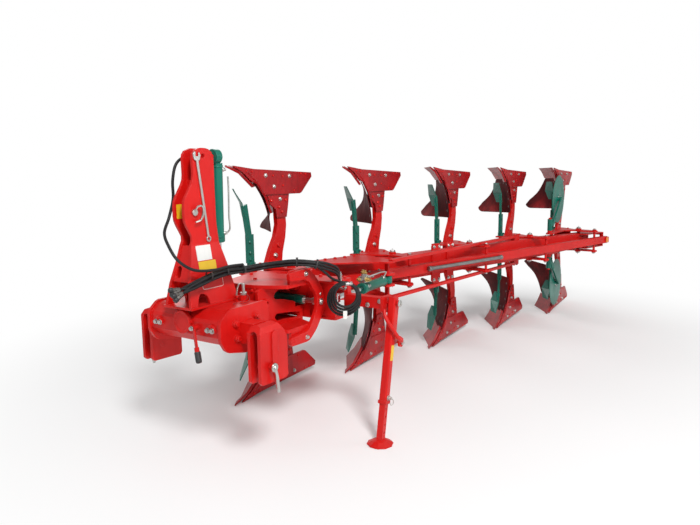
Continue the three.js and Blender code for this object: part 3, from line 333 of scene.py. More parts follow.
def spread(tree, value, low, high):
    """Stretches a value so that low becomes 0 and high becomes 1."""
    inputs = {"Value": value, "From Min": low, "From Max": high}
    return node(tree, "MapRange", inputs, interpolation_type="SMOOTHSTEP").outputs["Result"]


def make_edge_wear():
    group, given, out = node_group("edge wear", ("Radius", "Patchiness"), ("Mask", "Rounded Normal"))
    soft = node(group, "Bevel", {"Radius": given["Radius"]}, samples=4).outputs[0]
    true = node(group, "NewGeometry").outputs["Normal"]
    compare = node(group, "VectorMath", {0: soft, 1: true}, operation="DOT_PRODUCT")
    bent = maths(group, "SUBTRACT", 1.0, compare.outputs["Value"])
    patches = spread(group, noise(group, given["Patchiness"], 4.0, 0.65), 0.42, 0.66)
    torn = spread(group, maths(group, "MULTIPLY", bent, patches), 0.03, 0.16)
    feed(group, out, {"Mask": torn, "Rounded Normal": soft})
    return group


def make_settled_dust():
    group, given, out = node_group("settled dust", ("Scale", "Amount"), ("Mask",))
    facing = node(group, "SeparateXYZ", {0: node(group, "TexCoord").outputs["Normal"]})
    upward = spread(group, facing.outputs["Z"], 0.15, 0.95)
    cloud = spread(group, noise(group, given["Scale"], 6.0, 0.6), 0.35, 0.75)
    both = maths(group, "MULTIPLY", upward, cloud)
    feed(group, out, {"Mask": maths(group, "MULTIPLY", both, given["Amount"])})
    return group


def make_uneven_film():
    group, given, out = node_group("uneven film", ("Cloud Scale", "Grain Scale"), ("Tone", "Smear", "Height"))
    place = node(group, "TexCoord").outputs["Object"]
    streak = node(group, "Mapping", {"Vector": place, "Scale": (1.0, 1.0, 0.12)}).outputs[0]
    feed(group, out, {
        "Tone": spread(group, noise(group, given["Cloud Scale"], 5.0, 0.6), 0.3, 0.7),
        "Smear": spread(group, noise(group, 34.0, 4.0, 0.6, streak), 0.45, 0.75),
        "Height": noise(group, given["Grain Scale"], 2.0, 0.5),
    })
    return group


EDGE_WEAR = make_edge_wear()
SETTLED_DUST = make_settled_dust()
UNEVEN_FILM = make_uneven_film()
print("node groups:", [g.name for g in (EDGE_WEAR, SETTLED_DUST, UNEVEN_FILM)])

# %% [markdown]
# The finishes
#
# Every finish is one recipe with its own values: a base colour that drifts between two shades, dust that dulls
# it, wear that shows the metal under it, and a fine grain in its relief. Paint has a thin clear coat, zinc and
# polished steel are metals, and rubber is dull and nearly black. Values that are the same all over a surface
# are set straight on the shader.

# %% Materials
def mix_value(tree, factor, first, second):
    return node(tree, "Mix", {0: factor, 2: first, 3: second}).outputs[0]


def mix_colour(tree, factor, first, second):
    """The colours of a mix node are its inputs 6 and 7 and its output 2."""
    first, second = (v if hasattr(v, "is_linked") else (*v, 1.0) for v in (first, second))
    return node(tree, "Mix", {0: factor, 6: first, 7: second}, data_type="RGBA").outputs[2]


DUST = (0.42, 0.36, 0.29)
BARE_STEEL = (0.36, 0.34, 0.32)


def finish(name, colour, shade, rough, metal=0.0, coat=0.0, dust=0.25, wear=0.5, edge=0.003, grain=260.0,
           relief=0.05, cloud=3.0, worn_to=BARE_STEEL, smear=0.15, gloss=0.5, tint=(1, 1, 1)):
    material = bpy.data.materials.new(name)
    material.use_nodes = True
    tree = material.node_tree
    film = node(tree, "Group", {"Cloud Scale": cloud, "Grain Scale": grain}, node_tree=UNEVEN_FILM).outputs
    worn = node(tree, "Group", {"Radius": edge, "Patchiness": 46.0}, node_tree=EDGE_WEAR).outputs
    dirt = node(tree, "Group", {"Scale": 7.0, "Amount": dust}, node_tree=SETTLED_DUST).outputs["Mask"]
    bare = maths(tree, "MULTIPLY", worn["Mask"], wear)
    base = mix_colour(tree, film["Tone"], colour, shade)
    base = mix_colour(tree, maths(tree, "MULTIPLY", film["Smear"], smear), base, tuple(0.45 * c for c in shade))
    base = mix_colour(tree, dirt, base, DUST)
    patchy = mix_value(tree, film["Tone"], rough, min(1.0, rough + 0.09))
    bump = node(tree, "Bump", {
        "Strength": relief, "Distance": 0.002, "Height": film["Height"], "Normal": worn["Rounded Normal"],
    })
    feed(tree, tree.nodes["Principled BSDF"], {
        "Base Color": mix_colour(tree, bare, base, worn_to),
        "Roughness": mix_value(tree, dirt, patchy, 0.85),
        "Metallic": mix_value(tree, bare, metal, 0.9) if metal < 1.0 and wear > 0 else metal,
        "Specular IOR Level": gloss, "Specular Tint": (*tint, 1), "Coat Weight": coat, "Coat Roughness": 0.12,
        "Normal": bump.outputs[0],
    })
    return material


RED = finish("red paint", (0.64, 0.008, 0.006), (0.54, 0.005, 0.004), 0.34, coat=0.06, dust=0.03, wear=0.2,
             smear=0.10, gloss=0.26)
GREEN = finish("green paint", (0.004, 0.165, 0.115), (0.003, 0.125, 0.088), 0.28, coat=0.1, dust=0.05, wear=0.25,
               gloss=0.3)
BOARD = finish("burnished board", (0.170, 0.018, 0.022), (0.070, 0.012, 0.016), 0.27, metal=0.85, dust=0.03,
               wear=0.25, cloud=5.0, grain=120.0, relief=0.12, smear=0.4, gloss=0.4, tint=(0.34, 0.15, 0.15))
# Darker red for the shares: partly their own darker paint, partly painted shade, because the lower shares stand in
# shade.
SHARE_RED_AND_SHADE = finish("share paint and painted shade", (0.44, 0.007, 0.010), (0.28, 0.005, 0.008), 0.3, coat=0.08, dust=0.05, wear=0.55,
               edge=0.006, cloud=4.0, smear=0.35, gloss=0.3)
ZINC = finish("zinc plate", (0.60, 0.60, 0.57), (0.47, 0.47, 0.45), 0.30, metal=1.0, dust=0.18, wear=0, grain=420.0)
CHROME = finish("chromed rod", (0.72, 0.72, 0.72), (0.66, 0.66, 0.67), 0.10, metal=1.0, dust=0.05, wear=0,
                smear=0.05)
STEEL = finish("oiled steel", (0.19, 0.18, 0.17), (0.12, 0.11, 0.10), 0.38, metal=0.9, dust=0.3, wear=0)
HOSE = finish("hose rubber", (0.009, 0.009, 0.010), (0.015, 0.015, 0.016), 0.44, dust=0.03, wear=0, relief=0.25,
              gloss=0.3, grain=900.0, smear=0.0)
THREAD = finish("rolled thread", (0.34, 0.34, 0.33), (0.22, 0.22, 0.22), 0.34, metal=1.0, dust=0.2, wear=0,
                cloud=12.0)
BRASS = finish("brass fitting", (0.62, 0.42, 0.14), (0.48, 0.31, 0.10), 0.28, metal=1.0, dust=0.2, wear=0)
PLASTIC = finish("black plastic", (0.018, 0.018, 0.020), (0.028, 0.028, 0.030), 0.45, dust=0.3, wear=0, relief=0.15)
YELLOW = finish("yellow sticker", (0.78, 0.50, 0.015), (0.70, 0.43, 0.012), 0.4, dust=0.15, wear=0, edge=0.001)
WHITE = finish("white sticker", (0.78, 0.78, 0.75), (0.70, 0.70, 0.68), 0.4, dust=0.2, wear=0, edge=0.001)
AMBER = finish("amber reflector", (0.85, 0.28, 0.01), (0.72, 0.20, 0.008), 0.15, coat=0.8, dust=0.1, wear=0,
               edge=0.001)

# The first finish of a slot is the one that its solid parts get.
FINISHES = {
    "red_box": (RED,), "red_paint": (RED, SHARE_RED_AND_SHADE, YELLOW, WHITE, AMBER), "green_paint": (GREEN,),
    "burnished_steel": (BOARD,), "bright_steel": (ZINC, CHROME, STEEL, THREAD, BRASS), "hose_rubber": (HOSE, PLASTIC),
}
slot_of_node = {entry["node"]: entry["material_slot"] for entry in frame["record"]["subparts"]}
for name, solid in frame["nodes"].items():
    if not solid.material_slots:
        solid.data.materials.append(None)
    for place in solid.material_slots:
        # Shares get the darker red, which holds painted shade.
        place.material = SHARE_RED_AND_SHADE if name.startswith("share") else FINISHES[slot_of_node[name]][0]
print("finishes on", len(frame["nodes"]), "solid parts")

# %% [markdown]
# Mouldboards
#
# A mouldboard is the curved plate that lifts the slice and lays it over. Its surface is swept by a level line
# that starts on the shin, leans back, and swings round a little as it rises. The solid follows the same rule
# with few faces. Here the rule is sampled finely, so that the polished surface reflects in one clean sweep, and
# the thickness is laid off at right angles to it.

# %% Sweep the boards
SHIN_REACH, SHIN_HEIGHT = 440, 520
BOARD_LENGTH, BOARD_THICKNESS, BOARD_BACK = 830, 8, 24
SHARE_HEIGHT = 120
ANGLE_LEAST, ANGLE_AT_EDGE, ANGLE_AT_TOP, TURN_HEIGHT = 31.5, 2, 12.5, 130


def shin_x(z):
    rise = 1 - min(z, SHIN_HEIGHT) / SHIN_HEIGHT
    return SHIN_REACH * max(1 - rise * rise, 0) ** 0.6


def board_angle(z):
    above, below = max(0, z - TURN_HEIGHT) / 370, max(0, TURN_HEIGHT - z) / TURN_HEIGHT
    return math.radians(ANGLE_LEAST + ANGLE_AT_TOP * above ** 1.6 + ANGLE_AT_EDGE * below ** 1.5)


def on_board(s, z):
    angle = board_angle(z)
    lean = 0.16 * max(0, z - 330) * s / BOARD_LENGTH
    return Vector((shin_x(z) + BOARD_BACK + s * math.cos(angle) - lean, s * math.sin(angle) + lean, z))


def lifted(s, z, lift):
    p = on_board(s, z)
    ds = on_board(s + 1, z) - p
    dz = on_board(s, z + 1) - on_board(s, max(z - 1, 0))
    return p + dz.cross(ds).normalized() * lift


def board_low(s):
    return SHARE_HEIGHT + 4 + (((s - 460) / 370) ** 1.4 * 290 if s > 460 else 0)


def board_high(s):
    return 500 + 0.03 * s - (((s - 640) / 190) ** 2 * 45 if s > 640 else 0)


def side_point(number, end, p):
    """A point of one body; the upper body is the lower one mirrored in the shaft's level."""
    return at_station(number, p[0], p[1], p[2] if end == "lower" else 2 * AXIS_Z - p[2])


def add_sheet(maker, columns, rows, point):
    """A closed sheet: point(u, v, face) gives its two faces."""
    grid = [[(i / columns, j / rows) for i in range(columns + 1)] for j in range(rows + 1)]
    front, back = ([[maker.mesh.verts.new(point(u, v, face)) for u, v in row] for row in grid] for face in (1, 0))
    for j in range(rows):
        for i in range(columns):
            maker.mesh.faces.new((front[j][i], front[j][i + 1], front[j + 1][i + 1], front[j + 1][i]))
            maker.mesh.faces.new((back[j][i], back[j + 1][i], back[j + 1][i + 1], back[j][i + 1]))
    loop = [(0, i) for i in range(columns)] + [(j, columns) for j in range(rows)]
    loop += [(rows, i) for i in range(columns, 0, -1)] + [(j, 0) for j in range(rows, 0, -1)]
    for (j0, i0), (j1, i1) in zip(loop, loop[1:] + loop[:1]):
        maker.mesh.faces.new((front[j0][i0], back[j0][i0], back[j1][i1], front[j1][i1]))


for number in BODIES:
    for end in ENDS:
        maker = Maker()

        def point(u, v, face):
            s = u * BOARD_LENGTH
            z = board_low(s) + (board_high(s) - board_low(s)) * v
            return side_point(number, end, lifted(s, z, face * BOARD_THICKNESS))

        add_sheet(maker, 44, 24, point)
        board = maker.done(f"board_{end}_{number}", f"station_{number}", BOARD)
        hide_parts(f"mouldboard_{end}_{number}")
print("boards swept:", 2 * len(BODIES))

# %% [markdown]
# Supply hoses
#
# The oil reaches the plough through rubber hoses with wire inside. They hang in a loose bundle from the
# couplings in front, pass beside the mast, and are tied together where they enter the turning part. One more
# hose loops up behind the mast to the turnover cylinder. A hose with wire in it doesn't bend sharply, so each
# is one smooth curve. The far end of each front hose has a crimped ferrule with a hexagon behind it, and a cap
# that keeps the dirt out.

# %% Hoses in front
HOSE_RADIUS, FITTING = 8, 42


def end_fitting(metal, tip, direction):
    """A crimped ferrule and a hexagon at the end of a hose; returns where the fitting ends."""
    r, length = HOSE_RADIUS + 2.6, FITTING
    metal.lathe(tip, direction, [
        (0, HOSE_RADIUS), (0, r), (2, r + 0.6), (length * 0.5, r + 0.6), (length * 0.52, r - 1.4),
        (length * 0.6, r - 1.4), (length * 0.62, r), (length * 0.64, 0),
    ], 18)
    nut = tip + direction * length * 0.00062
    metal.lathe(nut, direction, [(0, r + 1.4), (length * 0.36, r + 1.4), (length * 0.38, 0)], 6)
    return tip + direction * length / 1000


def hose(name, body, points, fitting=None, steps=10):
    """One hose, 16 mm thick, with the fitting on its far end."""
    maker = Maker()
    path = maker.tube(points, HOSE_RADIUS, 14, steps)
    piece = maker.done(name, body, HOSE, 60)
    run = (path[-1] - path[-2]).normalized()
    if fitting:
        metal = Maker()
        nose = end_fitting(metal, path[-1], run)
        metal.done(name + "_ferrule", body, STEEL if fitting == "cap" else ZINC)
        if fitting == "cap":
            cap = Maker()
            cap.lathe(nose - run * 0.004, run, [(0, 13), (3, 14.2), (16, 14.2), (20, 12.5), (23, 8), (23, 0)], 20)
            cap.done(name + "_cap", body, PLASTIC)
    return piece


def hose_end(i):
    """Where hose i meets its lead, two above two."""
    return -18 * (i % 2) - 112, 1110 + 18 * (i // 2) - 6 * (i % 2)


SPLIT_X = 277  # where the hoses of the frame meet those of the turning part
for i in range(4):
    y, z = hose_end(i)
    hanging = route([
        (SPLIT_X - 0.3, y, z), (SPLIT_X - 30, y - 5, z + 1), (205, y - 13, z + 4), (150, y - 11, z + 8),
        (0, y - 8, z + 2 + 3 * i), (-150, y - 10 + 5 * i, z - 24), (-224, y + 4 * i, z - 36 - 5 * i),
        (-262, y + 13, z - 36 - 12 * i),
    ])
    piece = hose(f"front_hose_{i + 1}", "frame", hanging, "cap")
    if i == 0:
        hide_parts("hose_bundle")
hose("mast_hose", "frame", route([
    (176, -138, 1152), (60, -150, 1158), (-60, -146, 1152), (-190, -126, 1170), (-256, -90, 1225), (-262, -30, 1300),
    (-228, 36, 1362), (-166, 66, 1440), (-130, 68, 1540), (-126, 68, 1640), (-92, 70, 1730), (-16, 72, 1768),
    (66, 66, 1740), (104, 58, 1700),
]))

# %% [markdown]
# Straps round the bundle
#
# Where the hoses run side by side they are held by straps, each a band pulled tight round them with its
# lock standing off on one side. The band is an oval ring about the middle of the bundle.

# %% Straps
def strap(maker, middle, run, half_wide, half_high, width=9, thick=1.6):
    run = Vector(run).normalized()
    side = run.cross(Vector(UP)).normalized()
    rise = side.cross(run)
    inside = []
    for c, s in circle(28):
        flat = (abs(c) ** 3 + abs(s) ** 3) ** (-1 / 3)
        inside.append((side * c * half_wide * flat + rise * s * half_high * flat) / 1000)
    outside = [v + v.normalized() * thick / 1000 for v in inside]
    sections = ((inside, -width / 2), (outside, -width / 2), (outside, width / 2), (inside, width / 2))
    rings = [[middle + run * step / 1000 + v for v in row] for row, step in sections]
    maker.strip(rings + [rings[0]], close_ends=False)
    lock = middle + rise * (half_high + 3) / 1000
    maker.plate(oblong(lock, run, side, 12, 14), 6, rise)


straps = Maker()
strap(straps, at(179, -133, 1123), REAR, 21, 21, 14, 3)
strap(straps, at(40, -132, 1131), REAR, 25, 19)
strap(straps, at(-80, -131, 1123), (1, 0, -0.1), 25, 20)
straps.done("bundle_straps", "frame", PLASTIC)
print("straps on the bundle: 3")

# %% [markdown]
# Spare hose in a coil
#
# The line to the second cylinder is longer than it needs to be, and its slack hangs in a coil from a hook on
# the carrier. A hanging coil is held at its top and its loops differ in size, so their lower ends fan out. The
# loops are one helix whose radius grows while its top stays at one height, so that they lie clear of each
# other all the way round.

# %% Coil and leads
COIL_TOP, COIL_LOOPS, COIL_PITCH, COIL_TURN = (648, -530, 1002), 4, 17, math.radians(45)
LOOP_LEAST, LOOP_GROWTH, LOOP_POINTS = 66, 42, 28


def coil_point(t):
    turn = 2 * math.pi * COIL_LOOPS * t + math.pi / 2
    radius = LOOP_LEAST + LOOP_GROWTH * t
    side, along = radius * math.cos(turn), COIL_PITCH * COIL_LOOPS * (t - 0.5)
    return at(
        COIL_TOP[0] + side * math.sin(COIL_TURN) + along * math.cos(COIL_TURN),
        COIL_TOP[1] - side * math.cos(COIL_TURN) + along * math.sin(COIL_TURN),
        COIL_TOP[2] - radius + radius * math.sin(turn),
    )


# Middle of the bundle of four leads, with the direction that it has there, seen from above.
LEAD_Y, LEAD_Z = -121, 1116
LEAD_MIDDLE = (
    (SPLIT_X + 0.3, LEAD_Y, LEAD_Z, 0), (307, LEAD_Y, LEAD_Z, 0), (334, -126, 1117, 20),
    (357, -139, 1119, 40), (374, -160, 1122, 60), (440, -300, 1140, 64), (506, -402, 1132, 46),
)


def lead(i):
    """Route of lead i from its union to where the bundle fans out; the leads keep 18 mm apart."""
    y, z = hose_end(i)
    aside, above = y - LEAD_Y, z - LEAD_Z
    return route([
        (mx + aside * math.sin(math.radians(bend)), my + aside * math.cos(math.radians(bend)), mz + above)
        for mx, my, mz, bend in LEAD_MIDDLE
    ])


coil_steps = LOOP_POINTS * COIL_LOOPS
coil = [coil_point(1 - i / coil_steps) for i in range(coil_steps + 1)]
into = route([(562, -444, 1076), (620, -462, 1028)])
spare = hose("spare_hose", "carrier", lead(0) + into + coil, "screwed", 4)
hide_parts("hose_coil")
for i, level in ((1, 0), (2, 2), (3, 1)):
    fan = route([(572, -450, 1094 + 18 * level), (660, -464, 1056 + 19 * level), (744, -430, 1004 + 20 * level)])
    hose(f"lead_hose_{i}", "carrier", lead(i) + fan, "screwed", 8)
ties = Maker()
strap(ties, at(452, -320, 1139), (0.5, -0.86, 0.0), 19, 23, 8)
strap(ties, at(520, -413, 1125), (0.7, -0.66, -0.3), 19, 25, 8)
ties.done("lead_ties", "carrier", PLASTIC)
tag = Maker()
tag.plate(oblong(at(641, -537, 808), (0.707, -0.707, 0), UP, 26, 56), 1.2, (-0.707, -0.707, 0), 0.6)
tag.done("coil_tag", "carrier", WHITE, slot="hose_rubber")
print("coil of", COIL_LOOPS, "loops and 3 leads")

# %% [markdown]
# Hydraulic cylinders
#
# Three cylinders work the plough: one turns it over, one sets the first furrow and one sets the width. A
# cylinder is a honed tube closed by an eye at one end and a screwed gland at the other, where the chromed rod
# comes out. Ports are welded on as short bosses, and a steel pipe carries oil along the tube to the far port.
# Each is turned about its own axis, so it replaces the many-sided solid and fills the same space.

# %% Cylinders and rods
def turned(name, body, material, shapes, solid=None):
    maker = Maker()
    for origin, direction, profile, sides in shapes:
        maker.lathe(origin, direction, profile, sides)
    piece = maker.done(name, body, material)
    if solid:
        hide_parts(solid)


def rounded(length, radius, ease, inner=0.0):
    """A turned disc or ring with eased edges."""
    return [(0, inner), (0, radius - ease), (ease, radius), (length - ease, radius), (length, radius - ease),
            (length, inner)]


def barrel(start, mouth, radius, gland, gland_length=40):
    """A cylinder tube with its weld beads and its gland, measured along its axis in millimetres."""
    bead = [(start + d, radius + lift) for d, lift in ((14, 0), (16, 2.4), (20, 3), (24, 2.4), (26, 0))]
    low = mouth - gland_length
    return [(start, 0), (start, radius)] + bead + [
        (low - 8, radius), (low - 5, radius + 1.6), (low, radius + 1.6), (low, gland - 1.5), (low + 1.5, gland),
        (low + 14, gland), (low + 15, gland - 1.6), (low + 18, gland - 1.6), (low + 19, gland),
        (mouth - 2, gland), (mouth, gland - 2), (mouth, radius * 0.62), (mouth - 3, radius * 0.58), (mouth - 3, 0),
    ]


TURN_EYE, TURN_PIN = at(140, 0, 1770), at(229, 110, AXIS_Z)
turn_run = (TURN_PIN - TURN_EYE).normalized()
turn_length = (TURN_PIN - TURN_EYE).length * 1000
turned("turnover_tube", "turn_barrel", GREEN, [
    (TURN_EYE, turn_run, barrel(34, 500, 33, 38), 40),
    (at(104, 0, 1770), REAR, rounded(46, 42, 3, 16.3), 40),
], "turnover_barrel")
turned("turnover_piston_rod", "turn_rod", CHROME, [
    (TURN_EYE, turn_run, [(392, 0), (392, 16), (turn_length - 26, 16), (turn_length - 26, 0)], 32),
    (at(219, 110, AXIS_Z), REAR, rounded(18, 26, 2), 32),
    (at(234, 110, AXIS_Z), REAR, rounded(12.4, 14, 1), 24),
], "turnover_rod")

VARIO_FRONT, VARIO_REAR = at(780, -370, AXIS_Z), at(1570, -320, AXIS_Z)
vario_run = (VARIO_FRONT - VARIO_REAR).normalized()
vario_length = (VARIO_FRONT - VARIO_REAR).length * 1000
turned("width_tube", "width_barrel", GREEN, [
    (VARIO_REAR, vario_run, [(12, 0), (12, 26), (60, 26), (74, 35)] + barrel(74, 430, 36, 41, 36)[2:], 40),
    (VARIO_REAR - Vector((0, 0, 0.028)), UP, rounded(56, 33, 3, 17.8), 40),
], "vario_barrel")
turned("width_piston_rod", "width_rod", CHROME, [
    (VARIO_REAR, vario_run, [(362, 0), (362, 18), (vario_length - 30, 18), (vario_length - 30, 0)], 32),
    (VARIO_FRONT - Vector((0, 0, 0.026)), UP, rounded(52, 34, 3, 20), 36),
], "vario_rod")

LANDING_X = 643
tube = [(0, 0), (0, 29), (228, 29), (228, 27.6), (231, 27.6), (231, 29), (282, 29), (284, 27), (284, 17), (282, 0)]
turned("landing_tube", "carrier", GREEN, [(at(LANDING_X, 62, AXIS_Z), NEAR, tube, 40)], "landing_barrel")
rod = [(0, 0), (0, 15), (272, 15), (274, 22), (276, 24), (300, 24), (302, 22), (302, 0)]
turned("landing_piston_rod", "hub", ZINC, [(at(LANDING_X, -20, AXIS_Z), NEAR, rod, 32)], "landing_rod")
seal = [(0, 15.4), (0, 25), (5, 25), (7, 22), (12, 20), (12, 15.4)]
turned("landing_scraper", "carrier", ZINC, [(at(LANDING_X, -222, AXIS_Z), NEAR, seal, 36)])

fittings, pipes = Maker(), Maker()
PORT, PIPE = 8, 5


def port(run, origin, along, out, body_radius):
    """A welded boss with a screwed union on a tube; returns the end of the union."""
    out = (Vector(out) - run * Vector(out).dot(run)).normalized()
    seat = origin + run * along / 1000 + out * (body_radius - 2) / 1000
    fittings.lathe(seat, out, [(0, PORT + 4), (9, PORT + 4), (11, PORT + 2), (11, 0)], 20)
    fittings.lathe(seat + out * 0.011, out, [(0, PORT + 1), (10, PORT + 1), (11, PORT), (11, 0)], 6)
    return seat + out * 0.024


a = port(turn_run, TURN_EYE, 74, (1, -0.6, 0), 33)
b = port(turn_run, TURN_EYE, 452, (1, -0.6, 0), 33)
lift = (b - a).normalized()
off = Vector((0.010, -0.005, 0))
pipes.tube([b - Vector((0.004, -0.002, 0)), b + Vector((0.012, -0.006, 0)) - lift * 0.02, b + off - lift * 0.10,
            a + off + lift * 0.10, a + Vector((0.008, -0.004, 0)) + lift * 0.04], PIPE, 12, 8)
fittings.done("turnover_ports", "turn_barrel", ZINC)
pipes.done("turnover_pipe", "turn_barrel", ZINC)
fittings, pipes = Maker(), Maker()
a = port(vario_run, VARIO_REAR, 112, (0.1, -0.5, 1), 36)
b = port(vario_run, VARIO_REAR, 386, (0.1, -0.9, 0.4), 36)
steps = ((0, 0, 0), (0.004, -0.012, 0.022), (-0.05, -0.010, 0.032), (-0.14, -0.006, 0.028))
pipes.tube([a + Vector(step) for step in steps] + [at(1222, -341, 940)], PIPE, 12, 8)
fittings.done("width_ports", "width_barrel", ZINC)
pipes.done("width_pipe", "width_barrel", ZINC)
print("cylinders: 3, turnover cylinder", round(turn_length), "mm between its pins")

# %% [markdown]
# Valve on the width cylinder
#
# A small block with five unions in yellow zinc and three plain screws sits on the width cylinder. Its valve
# keeps the width when the oil line is not under pressure. Each union is a hexagon with a round neck.

# %% Valve and its unions
brass, zinc = Maker(), Maker()
VALVE_X, VALVE_Y = 1181, -345
for x, y, z, direction, size, length in (
    (-14, 0, 974, UP, 15, 16), (18, 0, 968, UP, 13, 14), (-62, 0, 940, (-1, 0, 0.1), 14, 14),
    (4, -27, 932, NEAR, 14, 16), (-22, -27, 930, NEAR, 11, 20),
):
    seat, neck, nose = at(VALVE_X + x, VALVE_Y + y, z), size * 0.62, length + 12
    brass.lathe(seat, direction, [(0, size), (length * 0.8, size), (length, size * 0.86), (length, 0)], 6, 0.2)
    brass.lathe(seat, direction, [(length - 1, neck), (nose - 1, neck), (nose, size * 0.5), (nose, 0)], 18)
for x, y, z, direction in ((26, -27, 950, NEAR), (-2, -27, 956, NEAR), (35, -6, 950, REAR)):
    zinc.bolt(at(VALVE_X + x, VALVE_Y + y, z), direction, 17, 8)
brass.done("valve_unions", "width_barrel", BRASS)
zinc.done("valve_screws", "width_barrel", ZINC)
print("unions on the valve: 5")

# %% [markdown]
# Spindle beside the beam
#
# The long spindle beside the third body sets the working width of the last furrows by hand. It is a rolled
# thread, zinc plated, which catches the light as a row of fine ribs. The ribs are turned rings: a helix would
# look the same from outside.

# %% Turn the spindle
SPINDLE_SIDE, RIBS = -254.4, 62
RIB = ((0.1, 12.6), (0.4, 17), (0.62, 17), (0.92, 12.6))
rear, front = (on_beam(x, SPINDLE_SIDE, AXIS_Z) for x in (2600, 1602))
run = (rear - front).normalized()
length = (rear - front).length * 1000
profile = [(length * k / RIBS + length / RIBS * share, radius) for k in range(RIBS) for share, radius in RIB]
spindle = Maker()
spindle.lathe(front, run, [(0, 15)] + profile + [(length, 15)], 20)
for x, collar in ((1574, 0.028), (2600, -0.006)):
    seat = on_beam(x, SPINDLE_SIDE, AXIS_Z)
    spindle.lathe(seat, run, [(0, 0), (0, 22), (2, 24), (26, 24), (28, 22), (28, 0)], 6)
    spindle.lathe(seat + run * collar, run, [(0, 0), (0, 21), (6, 21), (6, 0)], 24)
spindle = spindle.done("ribbed_spindle", "steering", THREAD, 50)
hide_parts("width_spindle")
print("ribs on the spindle:", RIBS)

# %% [markdown]
# Disc coulters
#
# A disc coulter cuts the slice free ahead of the last body. The disc is pressed from plate with a ground edge,
# and bolted to a hub that turns on sealed bearings. Two shallow rings show where the plate was pressed.

# %% Discs and hubs
DISC = [(-14, 0), (-14, 24), (-14, 24.5), (-12, 38), (-9, 43), (-5.4, 56), (-3.5, 66), (-3.5, 150), (-3.0, 156),
        (-3.5, 162), (-3.5, 262), (-3.0, 268), (0, 280)]
BOLT_RING = 0.051
for end in ENDS:
    middle = side_point(5, end, (173, -45, 372))
    disc = Maker()
    disc.lathe(middle, FAR, DISC + [(-d, r) for d, r in reversed(DISC)], 72)
    disc = disc.done(f"pressed_disc_{end}", f"wheel_{end}", GREEN)
    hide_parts(f"disc_{end}")
    hub = Maker()
    for c, s in circle(5):
        for side in (-1, 1):
            hub.bolt(middle + Vector((c * BOLT_RING, side * 0.006, s * BOLT_RING)), (0, side, 0), 15, 7)
    hub.lathe(middle + Vector((0, 0.014, 0)), FAR, [(0, 22), (8, 22), (13, 18), (15, 10), (15, 0)], 32)
    hub.done(f"disc_hub_bolts_{end}", f"wheel_{end}", ZINC)
print("discs: 2, with 10 bolts each")

# %% [markdown]
# Bolts on the headstock
#
# The headstock is a folded box whose end plates, bearing flanges and link brackets are bolted on, so its heads
# are the first thing that gives the casting-like red shapes their size. Each head sits on the face of the solid
# that it screws into. Painted heads were fitted before the frame was sprayed, and zinc ones after it.

# %% Headstock bolts
END_PLATE, BOX_FRONT, BOX_TOP = -302, -172, 958
painted, plated = Maker(), Maker()
painted.bolts(route([(-64, END_PLATE, 873), (-55, END_PLATE, 789), (104, END_PLATE, 884)]), NEAR, 30, 12)
for y in (-212, 200):
    plated.bolts(route([(BOX_FRONT, y - 17, 846), (BOX_FRONT, y + 17, 846)]), FRONT, 25, 11)
    painted.bolt(at(BOX_FRONT, y, 869), FRONT, 16, 6)
for side in (-1, 1):
    painted.bolts(route([(-176, side * 96, BOX_TOP), (150, side * 110, BOX_TOP)]), UP, 24, 10)
bearing = [(0, 50.5), (0, 64), (2, 66), (6, 66), (8, 64), (8, 54), (4, 50.5)]
painted.lathe(at(BOX_FRONT, 0, AXIS_Z), FRONT, bearing, 48)
painted.done("headstock_bolts", "frame", RED)
plated.done("bearing_bolts", "frame", ZINC)
print("bolts on the headstock: 13")

# %% [markdown]
# Link pins and their handles
#
# Each lower link pin is held in its fork by a round head, and pulled out by a steel handle that hangs from it.
# The head, its ring and the handle are bright steel, and the ball between the cheeks is polished by the hook
# that turns on it.

# %% Link pins
LINK_Z, BALL_RADIUS, CORD_RADIUS = 645, 28.6, 1.6
plated = Maker()
for side in (-1, 1):
    out = (0, side, 0)
    plated.lathe(at(0, side * 500, LINK_Z), out, [(0, 23.5), (3, 25), (8, 25), (11, 22), (11, 0)], 36)
    plated.lathe(at(0, side * 511, LINK_Z), out, [(0, 12), (5, 12), (7, 10), (7, 0)], 6)
    bends = ((4, 506, 634), (10, 510, 604), (17, 510, 560), (24, 509, 524), (27, 508, 506))
    plated.tube([at(x, side * y, z) for x, y, z in bends], 9, 16, 6)
    plated.lathe(at(27, side * 508, 506), (0.2, 0, -1), [(0, 9), (3, 8.4), (6, 5), (6, 0)], 16)
    ball = [(d, math.sqrt(BALL_RADIUS ** 2 - d ** 2)) for d in range(-22, 23, 4)]
    plated.lathe(at(0, side * 430, LINK_Z), out, [(-22, 12)] + ball + [(22, 12)], 40)
plated.done("link_pin_heads", "frame", ZINC)
grip = Maker()
low, high = at(-193.6, -132, 726), at(-197.4, -147, 664)
ridges = [(4 + 6 * k + d, r) for k in range(8) for d, r in ((0, 16.4), (3, 17.4), (5, 16.4))]
grip.lathe(low, high - low, [(0, 12), (2, 15.5)] + ridges + [(56, 16), (62, 13), (64, 6), (64, 0)], 24)
grip.done("lever_grip", "lever", PLASTIC)
cord = Maker()
cord.tube(route([
    (150, -178, 988), (146, -206, 974), (120, -232, 960), (74, -246, 958.8), (28, -240, 958.8), (4, -222, 958.8),
    (22, -206, 958.8), (70, -212, 958.8), (112, -214, 964), (138, -200, 978), (148, -182, 990),
]), CORD_RADIUS, 8, 8)
cord.done("pin_lanyard", "frame", SHARE_RED_AND_SHADE)
cap = Maker()
cap.bolt(at(-198, -100, 850), FRONT, 22, 9)
cap.done("lever_nut", "frame", ZINC)
print("link pins: 2")

# %% [markdown]
# Stickers without words
#
# The headstock, the beam and the stand carry thin printed films. Their places are kept and they are left blank:
# a white and a yellow field on the mast, an outlined field under them, and more on the stand and the beam. Each
# is a thin sheet with rounded corners that lies on the plate under it.

# %% Stickers
MAST_HALF, MAST_SPLAY, MAST_BEND = 46, 0.17, 1290


